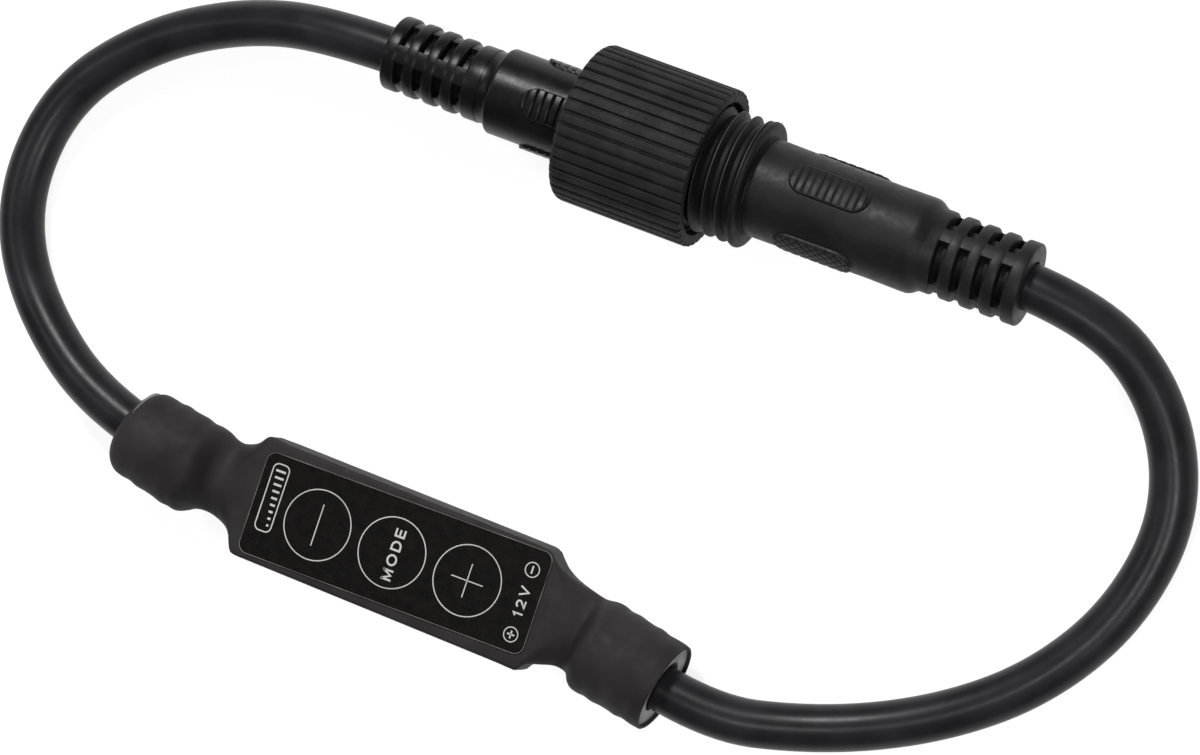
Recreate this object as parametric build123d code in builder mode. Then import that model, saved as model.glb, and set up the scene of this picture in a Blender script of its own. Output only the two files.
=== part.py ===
from build123d import *
import os
from math import cos, isclose, pi, radians, sin, tan

# Inline push-button LED dimmer: a flat controller shrunk into one black sleeve, with a short
# two-core lead at each end. The two leads curve round and meet in a screwed pair of sealed
# connectors, plug on the lamp lead and socket on the supply lead.
#
# Millimetres. The origin is the middle of the flat underside of the sleeve. +X runs along the
# controller towards the supply end, +Y towards the connectors and +Z up, out of the printed face.

# Flat body of the sleeve
body_length = 34.6
body_width = 13.3
body_height = 7.6
body_edge_radius = 0.4
body_under_radius = 2.5
sleeve_wall = 0.9
cavity_end_wall = 1.1

# Necks and collars of the sleeve: runs are measured outwards from the ends of the flat body
neck_run = 3.9
neck_width = 8.3
neck_height = 5.8
neck_corner = 2.6
neck_under_corner = 2.8
neck_lift = 0.7
collar_diameter = 10.2
collar_wall = 0.45
collar_flat = 0.5
collar_root_run = 6.9
supply_collar_run = 15.4
lamp_collar_run = 16.4
lamp_lip_depth = 1.0
lamp_lip_round = 1.6
loft_steps = 3
supply_heading = -10.2
lamp_heading = -6.0

# Printed face film
label_length = 33.8
label_width = 11.3
label_corner = 1.1
label_thickness = 0.2
label_skew = 1.57
label_shift = 0.3
label_side_shift = 0.15

# Leads
cable_diameter = 5.0
core_diameter = 1.7
core_pitch = 2.4
cable_start_run = 8.2
cable_bore_clearance = 0.03
core_clearance = 0.02
passage_clearance = 0.2

# Grey linings inside the collars
lining_recess = 0.4
supply_lining_gap = 0.45
lamp_lining_gap = 0.05
lamp_lip_gap = 0.3

# Circuit board and what it carries
board_thickness = 1.2
board_side_gap = 0.1
board_end_gap = 0.4
switch_side = 6.0
switch_body_height = 2.5
switch_floor = 0.3
plunger_diameter = 3.5
plunger_guide_gap = 0.1
plunger_top_gap = 0.05
plunger_travel_room = 0.4
pad_inset = 3.0
core_switch_gap = 0.6
part_edge = 0.15
chip_length = 4.9
chip_width = 3.9
chip_height = 1.3
chip_lead_pitch = 1.27
chip_lead_width = 0.42
chip_lead_reach = 1.0
chip_lead_thickness = 0.25
transistor_length = 4.5
transistor_width = 2.5
transistor_height = 1.4
capacitor_length = 3.2
capacitor_width = 1.6
capacitor_height = 1.3
diode_length = 2.7
diode_width = 1.6
diode_height = 1.1
resistor_length = 2.0
resistor_width = 1.25
resistor_height = 0.6
resistor_count = 3
underside_row = 2.9

# Connectors: stations are along X on an axis that lies parallel to the controller
connector_y = 49.7
nut_diameter = 17.2
connector_z = nut_diameter / 2
plug_clocking = 1.0
socket_clocking = -26.0

# Coupling nut
nut_rear = 3.85
nut_length = 15.25
nut_rear_round = 0.9
nut_front_chamfer = 0.3
nut_shoulder_depth = 1.75
nut_mouth_depth = 1.0
nut_mouth_step = 0.35
nut_groove_count = 41
nut_groove_width = 0.4
nut_groove_depth = 0.45
nut_groove_start = 2.7
thread_clearance = 0.2

# Plug half
plug_end = -18.3
plug_relief_length = 11.2
plug_relief_diameter = 8.1
plug_web_width = 1.9
plug_side_web_width = 4.3
plug_waist_length = 1.1
plug_waist_diameter = 7.9
plug_shoulder_length = 0.4
plug_body_diameter = 9.4
plug_pad_start = -2.0
plug_pad_length = 7.2
plug_pad_height = 0.35
plug_spigot_start = 0.2
plug_spigot_diameter = 7.2
plug_flange_gap = 0.1
plug_flange_thickness = 2.5
plug_flange_diameter = 12.6
shroud_diameter = 9.8
shroud_wall = 1.15
shroud_length = 10.4
shroud_floor = 1.4
pin_diameter = 1.0
pin_reach = 7.8

# Seal ring, squeezed between the plug's flange and the mouth of the socket
seal_section = 1.9
seal_gap = 0.1

# Socket half
socket_end = 54.6
socket_relief_length = 10.6
socket_relief_diameter = 8.9
socket_web_width = 1.6
socket_shoulder_length = 1.3
socket_body_front_diameter = 10.5
socket_body_rear_diameter = 10.2
socket_pad_start = 28.0
socket_pad_length = 9.2
socket_pad_height = 0.35
flange_front = 23.15
flange_thickness = 1.5
flange_diameter = 13.6
flange_edge = 0.5
thread_diameter = 13.5
thread_relief_width = 0.6
thread_relief_diameter = 12.4
socket_bore_clearance = 0.1
socket_floor_gap = 0.3
boss_clearance = 0.25
boss_recess = 1.6
socket_spigot_length = 4.1
socket_spigot_diameter = 8.6
contact_diameter = 2.0
contact_bore = 1.1
contact_recess = 0.2

# Grip pads and strain reliefs of both halves
pad_width = 3.9
slot_count = 4
slot_width = 1.0
end_rib_thickness = 1.55
rib_thickness = 1.3
rib_round = 0.25
relief_core_diameter = 6.8
web_recess = 0.33

# Routes of the leads, from inside the collar to inside the moulding
supply_route = [
    (25.37, -1.452, 5.1),
    (36.49, -3.453, 5.1),
    (48.9, -1.1, 2.9),
    (60.0, 4.5, 2.55),
    (68.8, 12.0, 2.55),
    (74.6, 22.0, 2.6),
    (76.0, 33.7, 3.4),
    (71.0, 43.8, 5.7),
    (61.6, 49.7, 8.6),
    (50.2, 49.7, 8.6),
]
lamp_route = [
    (-25.455, 0.857, 5.1),
    (-37.19, 2.09, 5.1),
    (-50.5, 10.2, 2.9),
    (-56.6, 20.0, 2.55),
    (-55.7, 32.4, 2.55),
    (-47.9, 41.5, 3.4),
    (-37.1, 47.3, 5.7),
    (-25.8, 49.7, 8.6),
    (-14.0, 49.7, 8.6),
]
arc_share = 0.45

# Sizes that follow from the ones above
body_end = body_length / 2
cavity_length = body_length - 2 * cavity_end_wall
cavity_width = body_width - 2 * sleeve_wall
cavity_height = body_height - 2 * sleeve_wall
cavity_top = body_height - sleeve_wall
cavity_under_radius = body_under_radius - sleeve_wall
collar_axis_z = collar_diameter / 2
lining_diameter = collar_diameter - 2 * collar_wall
cable_radius = cable_diameter / 2
core_radius = core_diameter / 2
board_length = cavity_length - 2 * board_end_gap
core_start = board_length / 2 - pad_inset
switch_pitch = core_start - core_switch_gap - switch_side / 2 - label_shift
board_width = cavity_width - 2 * board_side_gap
plunger_top = cavity_top - plunger_top_gap
switch_top = plunger_top - (plunger_top_gap + sleeve_wall) / 2
board_top = switch_top - switch_body_height
board_bottom = board_top - board_thickness
plunger_foot = board_top + switch_floor + plunger_travel_room
nut_front = nut_rear + nut_length
nut_radius = nut_diameter / 2
nut_bore = thread_diameter + 2 * thread_clearance
plug_pad_diameter = plug_body_diameter + 2 * plug_pad_height
nut_hole = plug_pad_diameter + 2 * thread_clearance
nut_shoulder = nut_rear + nut_shoulder_depth
flange_rear = nut_shoulder + plug_flange_gap
plug_flange_front = flange_rear + plug_flange_thickness
shell_mouth = plug_flange_front + seal_section + seal_gap
shroud_tip = plug_flange_front + shroud_length
shroud_bore = shroud_diameter - 2 * shroud_wall
pin_tip = plug_flange_front + shroud_floor + pin_reach
socket_bore = shroud_diameter + 2 * socket_bore_clearance
socket_floor = shroud_tip + socket_floor_gap
boss_diameter = shroud_bore - 2 * boss_clearance
boss_tip = shell_mouth + boss_recess
flange_back = flange_front + flange_thickness
spigot_back = flange_back + socket_spigot_length
socket_body_back = socket_end - socket_relief_length - socket_shoulder_length

connector_axis = Axis((0, connector_y, connector_z), (1, 0, 0))
connector_section = Plane(
    origin=(0, connector_y, connector_z), x_dir=(1, 0, 0), z_dir=(0, -1, 0)
)


def collar_point(side, heading, run):
    """Point on the axis of a collar, this far out from the end of the flat body."""
    turn = radians(heading)
    x = side * (body_end + run * cos(turn))
    y = side * run * sin(turn)
    return Vector(x, y, collar_axis_z)


def sleeve_plane(side, heading, run, turn_share, middle_z):
    """Plane across the sleeve, this far out from the end of the flat body."""
    turn = radians(heading * turn_share)
    at = collar_point(side, heading, run)
    return Plane(
        origin=(at.X, at.Y, middle_z),
        x_dir=(-sin(turn), cos(turn), 0),
        z_dir=(cos(turn), sin(turn), 0),
    )


def blend_sections(first, second, share):
    """Section of the sleeve part way between two others: width, height, corners and lift."""
    return [one + share * (two - one) for one, two in zip(first, second)]


def body_plane(x):
    """Plane across the flat body, centred in its height."""
    return Plane(origin=(x, 0, body_height / 2), x_dir=(0, 1, 0), z_dir=(1, 0, 0))


def sleeve_section(sketch, width, height, corner, under_corner):
    """Section across the sleeve, with its own corner radius on the underside."""
    Rectangle(width, height)
    fillet(sketch.vertices().group_by(Axis.Y)[-1], corner)
    fillet(sketch.vertices().group_by(Axis.Y)[0], under_corner)


def connector_plane(station, clocking):
    """Plane across the connectors' axis, turned by the clocking angle about it."""
    turn = radians(clocking)
    return Plane(
        origin=(station, connector_y, connector_z),
        x_dir=(0, cos(turn), sin(turn)),
        z_dir=(1, 0, 0),
    )


def pad_plane(station, clocking):
    """Plane along the connectors' axis that faces one of the grip pads."""
    turn = radians(clocking)
    return Plane(
        origin=(station, connector_y, connector_z),
        x_dir=(1, 0, 0),
        z_dir=(0, -sin(turn), cos(turn)),
    )


def revolve_outline(*points):
    """Turn an outline of station and radius pairs about the connectors' axis."""
    with BuildSketch(connector_section) as outline:
        with BuildLine():
            Polyline(*points, close=True)
        make_face()
    revolve(outline.sketch, axis=connector_axis)


def grip_pads(start, length, clocking, pad_radius):
    """Four oval pads round a body, left standing inside a turned envelope."""
    middle = start + length / 2
    for quarter in (0, 90):
        with BuildSketch(pad_plane(middle, clocking + quarter)) as bar:
            SlotOverall(length, pad_width)
        extrude(bar.sketch, amount=2 * pad_radius, both=True)
    with BuildSketch(connector_plane(start, clocking)) as envelope:
        Circle(pad_radius)
    extrude(envelope.sketch, amount=length, mode=Mode.INTERSECT)


def strain_relief(moulding, end, inward, length, diameter, clocking, web_width, side_web_width):
    """Ribbed cylinder: slots cut round it leave a core, and two pairs of webs that join the ribs."""
    with BuildSketch(connector_plane(end, clocking)) as cylinder:
        Circle(diameter / 2)
    extrude(cylinder.sketch, amount=inward * length)
    with BuildSketch() as spine:
        Rectangle(web_width, diameter)
        Rectangle(diameter, side_web_width)
        Circle(diameter / 2 - web_recess, mode=Mode.INTERSECT)
        Circle(relief_core_diameter / 2)
    for slot in range(slot_count):
        depth = end_rib_thickness + slot * (slot_width + rib_thickness)
        with BuildSketch(connector_plane(end + inward * depth, clocking)) as cut:
            Circle(diameter)
            add(spine.sketch_local, mode=Mode.SUBTRACT)
        extrude(cut.sketch, amount=inward * slot_width, mode=Mode.SUBTRACT)
    front = end + inward * length
    rims = moulding.edges().filter_by(GeomType.CIRCLE).filter_by(
        lambda edge: isclose(edge.radius, diameter / 2) and not isclose(edge.arc_center.X, front)
    )
    fillet(rims, rib_round)


def core_places():
    """Centres of the two cores across a lead."""
    return Locations((-core_pitch / 2, 0), (core_pitch / 2, 0))


def route_radii(points):
    """Largest arcs that the runs of a lead allow, one for each corner."""
    radii = []
    for before, corner, after in zip(points, points[1:], points[2:]):
        run_in = Vector(*corner) - Vector(*before)
        run_out = Vector(*after) - Vector(*corner)
        half_turn = radians(run_in.get_angle(run_out)) / 2
        radii.append(arc_share * min(run_in.length, run_out.length) / tan(half_turn))
    return radii


collar_corner = (collar_diameter - collar_flat) / 2
body_section = (body_width, body_height, body_edge_radius, body_under_radius, 0)
neck_section = (neck_width, neck_height, neck_corner, neck_under_corner, neck_lift)
collar_section = (collar_diameter, collar_diameter, collar_corner, collar_corner, 0)

# Shrink sleeve: the flat body, a neck and collar lofted on to each end, and the hollow inside
with BuildPart() as heat_shrink_sleeve:
    for side, heading, collar_run in (
        (1, supply_heading, supply_collar_run),
        (-1, lamp_heading, lamp_collar_run),
    ):
        for step in range(2 * loft_steps + 1):
            if step < loft_steps:
                run = neck_run * step / loft_steps
                section = blend_sections(neck_section, body_section, (1 - step / loft_steps) ** 2)
            else:
                share = step / loft_steps - 1
                run = neck_run + share * (collar_root_run - neck_run)
                ease = share**2 * (3 - 2 * share)
                section = blend_sections(neck_section, collar_section, ease)
            width, height, corner, under_corner, lift = section
            turn_share = min(run / neck_run, 1)
            across = sleeve_plane(side, heading, run, turn_share, lift + height / 2)
            with BuildSketch(across) as slice_across:
                sleeve_section(slice_across, width, height, corner, under_corner)
        loft()
        collar_root = sleeve_plane(side, heading, collar_root_run, 1, collar_axis_z)
        with BuildSketch(collar_root):
            RectangleRounded(collar_diameter, collar_diameter, collar_corner)
        extrude(amount=side * (collar_run - collar_root_run))
    with BuildSketch(body_plane(-body_end)) as body:
        sleeve_section(body, body_width, body_height, body_edge_radius, body_under_radius)
    extrude(amount=body_length)
    lamp_end = heat_shrink_sleeve.faces().sort_by(Axis.X)[0]
    fillet(lamp_end.edges(), lamp_lip_round)
    with BuildSketch(body_plane(-cavity_length / 2)) as cavity:
        Rectangle(cavity_width, cavity_height)
        fillet(cavity.vertices().group_by(Axis.Y)[0], cavity_under_radius)
    extrude(amount=cavity_length, mode=Mode.SUBTRACT)
    for side, heading, collar_run in (
        (1, supply_heading, supply_collar_run),
        (-1, lamp_heading, lamp_collar_run - lamp_lip_depth),
    ):
        with BuildSketch(sleeve_plane(side, heading, collar_root_run, 1, collar_axis_z)):
            Circle(lining_diameter / 2)
        extrude(amount=side * (collar_run - collar_root_run), mode=Mode.SUBTRACT)
        inner = Vector(side * core_start, 0, board_top + core_radius)
        outer = collar_point(side, heading, cable_start_run)
        way = outer - inner
        with BuildSketch(Plane(origin=inner, x_dir=(-way.Y, way.X, 0), z_dir=way)):
            SlotOverall(
                core_pitch + core_diameter + 2 * passage_clearance,
                core_diameter + 2 * passage_clearance,
            )
        extrude(amount=way.length, mode=Mode.SUBTRACT)
    with BuildSketch(
        sleeve_plane(-1, lamp_heading, lamp_collar_run + lamp_lip_depth, 1, collar_axis_z)
    ):
        Circle(cable_radius + lamp_lip_gap)
    extrude(amount=3 * lamp_lip_depth, mode=Mode.SUBTRACT)
heat_shrink_sleeve.part.label = "heat_shrink_sleeve"

# Printed face film, stuck on a little askew
with BuildPart() as face_label:
    with BuildSketch(Plane.XY.offset(body_height)):
        with Locations((label_shift, label_side_shift)):
            RectangleRounded(label_length, label_width, label_corner, rotation=label_skew)
    extrude(amount=label_thickness)
face_label.part.label = "face_label"

# Circuit board
with BuildPart() as circuit_board:
    with BuildSketch(Plane.XY.offset(board_bottom)):
        RectangleRounded(board_length, board_width, body_edge_radius)
    extrude(amount=board_thickness)
circuit_board.part.label = "circuit_board"

# Push switches: a square body with a round well, and the plunger that slides in it
switch_names = ("minus", "mode", "plus")
switch_parts = []
for index, switch_name in enumerate(switch_names):
    switch_x = label_shift + (index - 1) * switch_pitch
    with BuildPart() as switch_body:
        with BuildSketch(Plane.XY.offset(board_top)):
            with Locations((switch_x, 0)):
                Rectangle(switch_side, switch_side)
        extrude(amount=switch_body_height)
        chamfer(switch_body.edges().filter_by(Axis.Z), part_edge)
        with BuildSketch(Plane.XY.offset(board_top + switch_floor)):
            with Locations((switch_x, 0)):
                Circle(plunger_diameter / 2 + plunger_guide_gap)
        extrude(amount=switch_body_height, mode=Mode.SUBTRACT)
    switch_body.part.label = switch_name + "_switch_body"
    with BuildPart() as plunger:
        with BuildSketch(Plane.XY.offset(plunger_foot)):
            with Locations((switch_x, 0)):
                Circle(plunger_diameter / 2)
        extrude(amount=plunger_top - plunger_foot)
        chamfer(plunger.edges().group_by(Axis.Z)[-1], part_edge)
    plunger.part.label = switch_name + "_plunger"
    switch_parts += [switch_body.part, plunger.part]


def underside_block(x, y, length, width, height):
    """A moulded part soldered to the underside of the board."""
    with BuildSketch(Plane.XY.offset(board_bottom)) as footprint:
        with Locations((x, y)):
            Rectangle(length, width)
    extrude(footprint.sketch, amount=-height)


# Control chip, with four leads along each side
with BuildPart() as control_chip:
    underside_block(-switch_pitch, 0, chip_length, chip_width, chip_height)
    chamfer(control_chip.edges().group_by(Axis.Z)[0], part_edge)
    with BuildSketch(Plane.XY.offset(board_bottom)):
        with Locations((-switch_pitch, 0)):
            with GridLocations(chip_lead_pitch, chip_width + chip_lead_reach, 4, 2):
                Rectangle(chip_lead_width, 2 * chip_lead_reach)
    extrude(amount=-chip_lead_thickness)
control_chip.part.label = "control_chip"

# Transistor that switches the lamp's current
with BuildPart() as dimming_transistor:
    underside_block(switch_pitch, 0, transistor_length, transistor_width, transistor_height)
    chamfer(dimming_transistor.edges().group_by(Axis.Z)[0], part_edge)
dimming_transistor.part.label = "dimming_transistor"

# Capacitor and diode that smooth and guard the chip's supply
with BuildPart() as filter_capacitor:
    underside_block(
        switch_pitch / 3, underside_row, capacitor_length, capacitor_width, capacitor_height
    )
filter_capacitor.part.label = "filter_capacitor"
with BuildPart() as bypass_diode:
    underside_block(switch_pitch / 3, -underside_row, diode_length, diode_width, diode_height)
    chamfer(bypass_diode.edges().group_by(Axis.Z)[0], part_edge)
bypass_diode.part.label = "bypass_diode"

# Chip resistors, alike, in a row across the board
with BuildPart() as chip_resistors:
    with BuildSketch(Plane.XY.offset(board_bottom)):
        with Locations((-switch_pitch / 3, 0)):
            with GridLocations(resistor_length, underside_row, 1, resistor_count):
                Rectangle(resistor_length, resistor_width)
    extrude(amount=-resistor_height)
chip_resistors.part.label = "chip_resistors"

# Cores from the leads to the pads at the ends of the board, and the linings in the collars
lead_parts = []
for lead, side, heading, mouth_run, gap in (
    ("supply", 1, supply_heading, supply_collar_run - lining_recess, supply_lining_gap),
    ("lamp", -1, lamp_heading, lamp_collar_run - lamp_lip_depth, lamp_lining_gap),
):
    inner = Vector(side * core_start, 0, board_top + core_radius)
    outer = collar_point(side, heading, cable_start_run)
    way = outer - inner
    core_plane = Plane(origin=inner, x_dir=(-way.Y, way.X, 0), z_dir=way)
    for pole, place in (("positive", -core_pitch / 2), ("negative", core_pitch / 2)):
        with BuildPart() as core:
            with BuildSketch(core_plane):
                with Locations((side * place, core_clearance)):
                    Circle(core_radius)
            extrude(amount=way.length + core_radius)
            split(
                bisect_by=sleeve_plane(side, heading, cable_start_run, 1, collar_axis_z),
                keep=Keep.BOTTOM if side > 0 else Keep.TOP,
            )
        core.part.label = lead + "_core_" + pole
        lead_parts.append(core.part)
    with BuildPart() as lining:
        with BuildSketch(sleeve_plane(side, heading, collar_root_run, 1, collar_axis_z)):
            Circle(lining_diameter / 2)
            Circle(cable_radius + gap, mode=Mode.SUBTRACT)
        extrude(amount=side * (mouth_run - collar_root_run))
    lining.part.label = lead + "_lining"
    lead_parts.append(lining.part)

# The two leads, as round tubes along their routes
for lead, points in (("supply", supply_route), ("lamp", lamp_route)):
    radii = route_radii(points)
    with BuildPart() as cable:
        with BuildLine() as route:
            FilletPolyline(*points, radius=radii)
        with BuildSketch(Plane(origin=route.line @ 0, z_dir=route.line % 0)):
            Circle(cable_radius)
        sweep(path=route.line)
    cable.part.label = lead + "_cable"
    lead_parts.append(cable.part)
    lead_length = sum(edge.length for edge in route.edges())
    swept_volume = pi * cable_radius**2 * lead_length
    print(lead, "lead length", round(lead_length, 2))
    print(lead, "lead radii", [round(radius, 1) for radius in radii])
    print(lead, "volume over section times length", round(cable.part.volume / swept_volume, 4))

# Plug moulding: waist, body and grip pads in one with the slotted strain relief
plug_relief_front = plug_end + plug_relief_length
plug_shoulder = plug_relief_front + plug_waist_length
plug_body_start = plug_shoulder + plug_shoulder_length
plug_cable_end = lamp_route[-1][0]
with BuildPart() as plug_overmould:
    grip_pads(plug_pad_start, plug_pad_length, plug_clocking, plug_pad_diameter / 2)
    revolve_outline(
        (plug_relief_front, 0),
        (plug_relief_front, plug_waist_diameter / 2),
        (plug_shoulder, plug_waist_diameter / 2),
        (plug_body_start, plug_body_diameter / 2),
        (flange_rear, plug_body_diameter / 2),
        (flange_rear, 0),
    )
    strain_relief(
        plug_overmould,
        plug_end,
        1,
        plug_relief_length,
        plug_relief_diameter,
        plug_clocking,
        plug_web_width,
        plug_side_web_width,
    )
    with BuildSketch(connector_plane(plug_end, 0)):
        Circle(cable_radius + cable_bore_clearance)
    extrude(amount=plug_cable_end - plug_end, mode=Mode.SUBTRACT)
    with BuildSketch(connector_plane(plug_cable_end, 0)):
        with core_places():
            Circle(core_radius + core_clearance)
    extrude(amount=plug_spigot_start - plug_cable_end, mode=Mode.SUBTRACT)
    with BuildSketch(connector_plane(plug_spigot_start, 0)):
        Circle(plug_spigot_diameter / 2)
    extrude(amount=flange_rear - plug_spigot_start, mode=Mode.SUBTRACT)
plug_overmould.part.label = "plug_overmould"

# Plug core: spigot in the moulding, flange that carries the nut, and the shroud round the pins
with BuildPart() as plug_core:
    revolve_outline(
        (plug_spigot_start, 0),
        (plug_spigot_start, plug_spigot_diameter / 2),
        (flange_rear, plug_spigot_diameter / 2),
        (flange_rear, plug_flange_diameter / 2),
        (plug_flange_front, plug_flange_diameter / 2),
        (plug_flange_front, shroud_diameter / 2),
        (shroud_tip, shroud_diameter / 2),
        (shroud_tip, shroud_bore / 2),
        (plug_flange_front + shroud_floor, shroud_bore / 2),
        (plug_flange_front + shroud_floor, 0),
    )
    with BuildSketch(connector_plane(plug_spigot_start, 0)):
        with core_places():
            Circle(pin_diameter / 2 + core_clearance)
    extrude(amount=plug_flange_front + shroud_floor - plug_spigot_start, mode=Mode.SUBTRACT)
plug_core.part.label = "plug_core"

# Seal ring round the shroud
with BuildPart() as seal_ring:
    with BuildSketch(connector_section):
        with Locations((plug_flange_front + seal_section / 2, (shroud_diameter + seal_section) / 2)):
            Circle(seal_section / 2)
    revolve(axis=connector_axis)
seal_ring.part.label = "seal_ring"

# Coupling nut, with a rounded rear edge and grooves that follow it
with BuildPart() as coupling_nut:
    revolve_outline(
        (nut_rear, nut_hole / 2),
        (nut_rear, nut_radius),
        (nut_front, nut_radius),
        (nut_front, nut_bore / 2 + nut_mouth_step),
        (nut_front - nut_mouth_depth, nut_bore / 2 + nut_mouth_step),
        (nut_front - nut_mouth_depth, nut_bore / 2),
        (nut_shoulder, nut_bore / 2),
        (nut_shoulder, nut_hole / 2),
    )
    rear_edge = coupling_nut.edges().filter_by(GeomType.CIRCLE).group_by(Axis.X)[0].sort_by(
        SortBy.RADIUS
    )[-1]
    fillet(rear_edge, nut_rear_round)
    front_edge = coupling_nut.edges().filter_by(GeomType.CIRCLE).group_by(Axis.X)[-1].sort_by(
        SortBy.RADIUS
    )[-1]
    chamfer(front_edge, nut_front_chamfer)
    groove_planes = [
        pad_plane(0, -(nut_groove_start + index * 360 / nut_groove_count)).rotated((90, 0, 0))
        for index in range(nut_groove_count)
    ]
    floor_radius = nut_radius - nut_groove_depth
    outside = nut_radius + nut_groove_depth
    with BuildSketch(*groove_planes):
        with BuildLine():
            floor_line = Line((nut_front, floor_radius), (nut_rear + nut_rear_round, floor_radius))
            turn_line = TangentArc(
                floor_line @ 1,
                (
                    nut_rear + nut_groove_depth,
                    floor_radius - nut_rear_round + nut_groove_depth,
                ),
                tangent=floor_line % 1,
            )
            Polyline(
                turn_line @ 1,
                (nut_rear - nut_groove_depth, floor_radius - nut_rear_round + nut_groove_depth),
                (nut_rear - nut_groove_depth, outside),
                (nut_front, outside),
                (nut_front, floor_radius),
            )
        make_face()
    extrude(amount=nut_groove_width / 2, both=True, mode=Mode.SUBTRACT)
coupling_nut.part.label = "coupling_nut"

# Socket shell: threaded outside, with a boss inside that the plug's shroud slides over
with BuildPart() as socket_shell:
    revolve_outline(
        (boss_tip, 0),
        (boss_tip, boss_diameter / 2),
        (socket_floor, boss_diameter / 2),
        (socket_floor, socket_bore / 2),
        (shell_mouth, socket_bore / 2),
        (shell_mouth, thread_diameter / 2),
        (flange_front - thread_relief_width, thread_diameter / 2),
        (flange_front - thread_relief_width, thread_relief_diameter / 2),
        (flange_front, thread_relief_diameter / 2),
        (flange_front, flange_diameter / 2),
        (flange_back, flange_diameter / 2),
        (flange_back, socket_spigot_diameter / 2),
        (spigot_back, socket_spigot_diameter / 2),
        (spigot_back, 0),
    )
    flange_rims = socket_shell.edges().filter_by(GeomType.CIRCLE).filter_by(
        lambda edge: isclose(edge.radius, flange_diameter / 2)
    )
    fillet(flange_rims, flange_edge)
    with BuildSketch(connector_plane(boss_tip, 0)):
        with core_places():
            Circle(contact_diameter / 2 + core_clearance)
    extrude(amount=spigot_back - boss_tip, mode=Mode.SUBTRACT)
socket_shell.part.label = "socket_shell"

# Socket moulding: tapered body and grip pads in one with the slotted strain relief
socket_relief_front = socket_end - socket_relief_length
socket_cable_end = supply_route[-1][0]
with BuildPart() as socket_overmould:
    socket_pad_radius = socket_body_front_diameter / 2 + socket_pad_height
    grip_pads(socket_pad_start, socket_pad_length, socket_clocking, socket_pad_radius)
    revolve_outline(
        (flange_back, 0),
        (flange_back, socket_body_front_diameter / 2),
        (socket_body_back, socket_body_rear_diameter / 2),
        (socket_relief_front, socket_relief_diameter / 2),
        (socket_relief_front, 0),
    )
    strain_relief(
        socket_overmould,
        socket_end,
        -1,
        socket_relief_length,
        socket_relief_diameter,
        socket_clocking,
        socket_web_width,
        socket_web_width,
    )
    with BuildSketch(connector_plane(socket_end, 0)):
        Circle(cable_radius + cable_bore_clearance)
    extrude(amount=socket_cable_end - socket_end, mode=Mode.SUBTRACT)
    with BuildSketch(connector_plane(socket_cable_end, 0)):
        with core_places():
            Circle(core_radius + core_clearance)
    extrude(amount=spigot_back - socket_cable_end, mode=Mode.SUBTRACT)
    with BuildSketch(connector_plane(flange_back, 0)):
        Circle(socket_spigot_diameter / 2)
    extrude(amount=spigot_back - flange_back, mode=Mode.SUBTRACT)
socket_overmould.part.label = "socket_overmould"

# Pins, contact tubes and the cores inside the two mouldings
for pole, place in (("positive", -core_pitch / 2), ("negative", core_pitch / 2)):
    with BuildPart() as pin:
        with BuildSketch(connector_plane(plug_spigot_start, 0)):
            with Locations((place, 0)):
                Circle(pin_diameter / 2)
        extrude(amount=pin_tip - plug_spigot_start)
        chamfer(pin.edges().group_by(Axis.X)[-1], pin_diameter / 4)
    pin.part.label = "plug_pin_" + pole
    with BuildPart() as contact:
        with BuildSketch(connector_plane(boss_tip + contact_recess, 0)):
            with Locations((place, 0)):
                Circle(contact_diameter / 2)
                Circle(contact_bore / 2, mode=Mode.SUBTRACT)
        extrude(amount=spigot_back - boss_tip - contact_recess)
    contact.part.label = "socket_contact_" + pole
    with BuildPart() as plug_conductor:
        with BuildSketch(connector_plane(plug_cable_end, 0)):
            with Locations((place, 0)):
                Circle(core_radius)
        extrude(amount=plug_spigot_start - plug_cable_end)
    plug_conductor.part.label = "plug_core_" + pole
    with BuildPart() as socket_conductor:
        with BuildSketch(connector_plane(spigot_back, 0)):
            with Locations((place, 0)):
                Circle(core_radius)
        extrude(amount=socket_cable_end - spigot_back)
    socket_conductor.part.label = "socket_core_" + pole
    lead_parts += [pin.part, contact.part, plug_conductor.part, socket_conductor.part]

# One file for each piece
os.makedirs("parts", exist_ok=True)
pieces = [
    heat_shrink_sleeve.part,
    face_label.part,
    circuit_board.part,
    control_chip.part,
    dimming_transistor.part,
    filter_capacitor.part,
    bypass_diode.part,
    chip_resistors.part,
    plug_overmould.part,
    plug_core.part,
    seal_ring.part,
    coupling_nut.part,
    socket_shell.part,
    socket_overmould.part,
]
for piece in pieces + switch_parts + lead_parts:
    export_step(piece, "parts/" + piece.label + ".step")
print("pieces", len(pieces + switch_parts + lead_parts))
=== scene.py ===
# %% [markdown]
# # Inline LED dimmer
# The real object is a small three-button dimmer for low-voltage LED lamps. It is shrunk into one black
# sleeve, with a short lead at each end, and the leads meet in a screwed connector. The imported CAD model
# is loaded as a fixed frame, and each visible piece is then dressed: a new mesh takes the place of its
# CAD node, or the node stays and gets a better finish. Lengths in the cells are in millimetres, as on the
# drawing, and a mesh is scaled to metres when it is finished.

# %% Load the frame
import math

import bmesh
import bpy
from mathutils import Matrix, Vector


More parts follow.
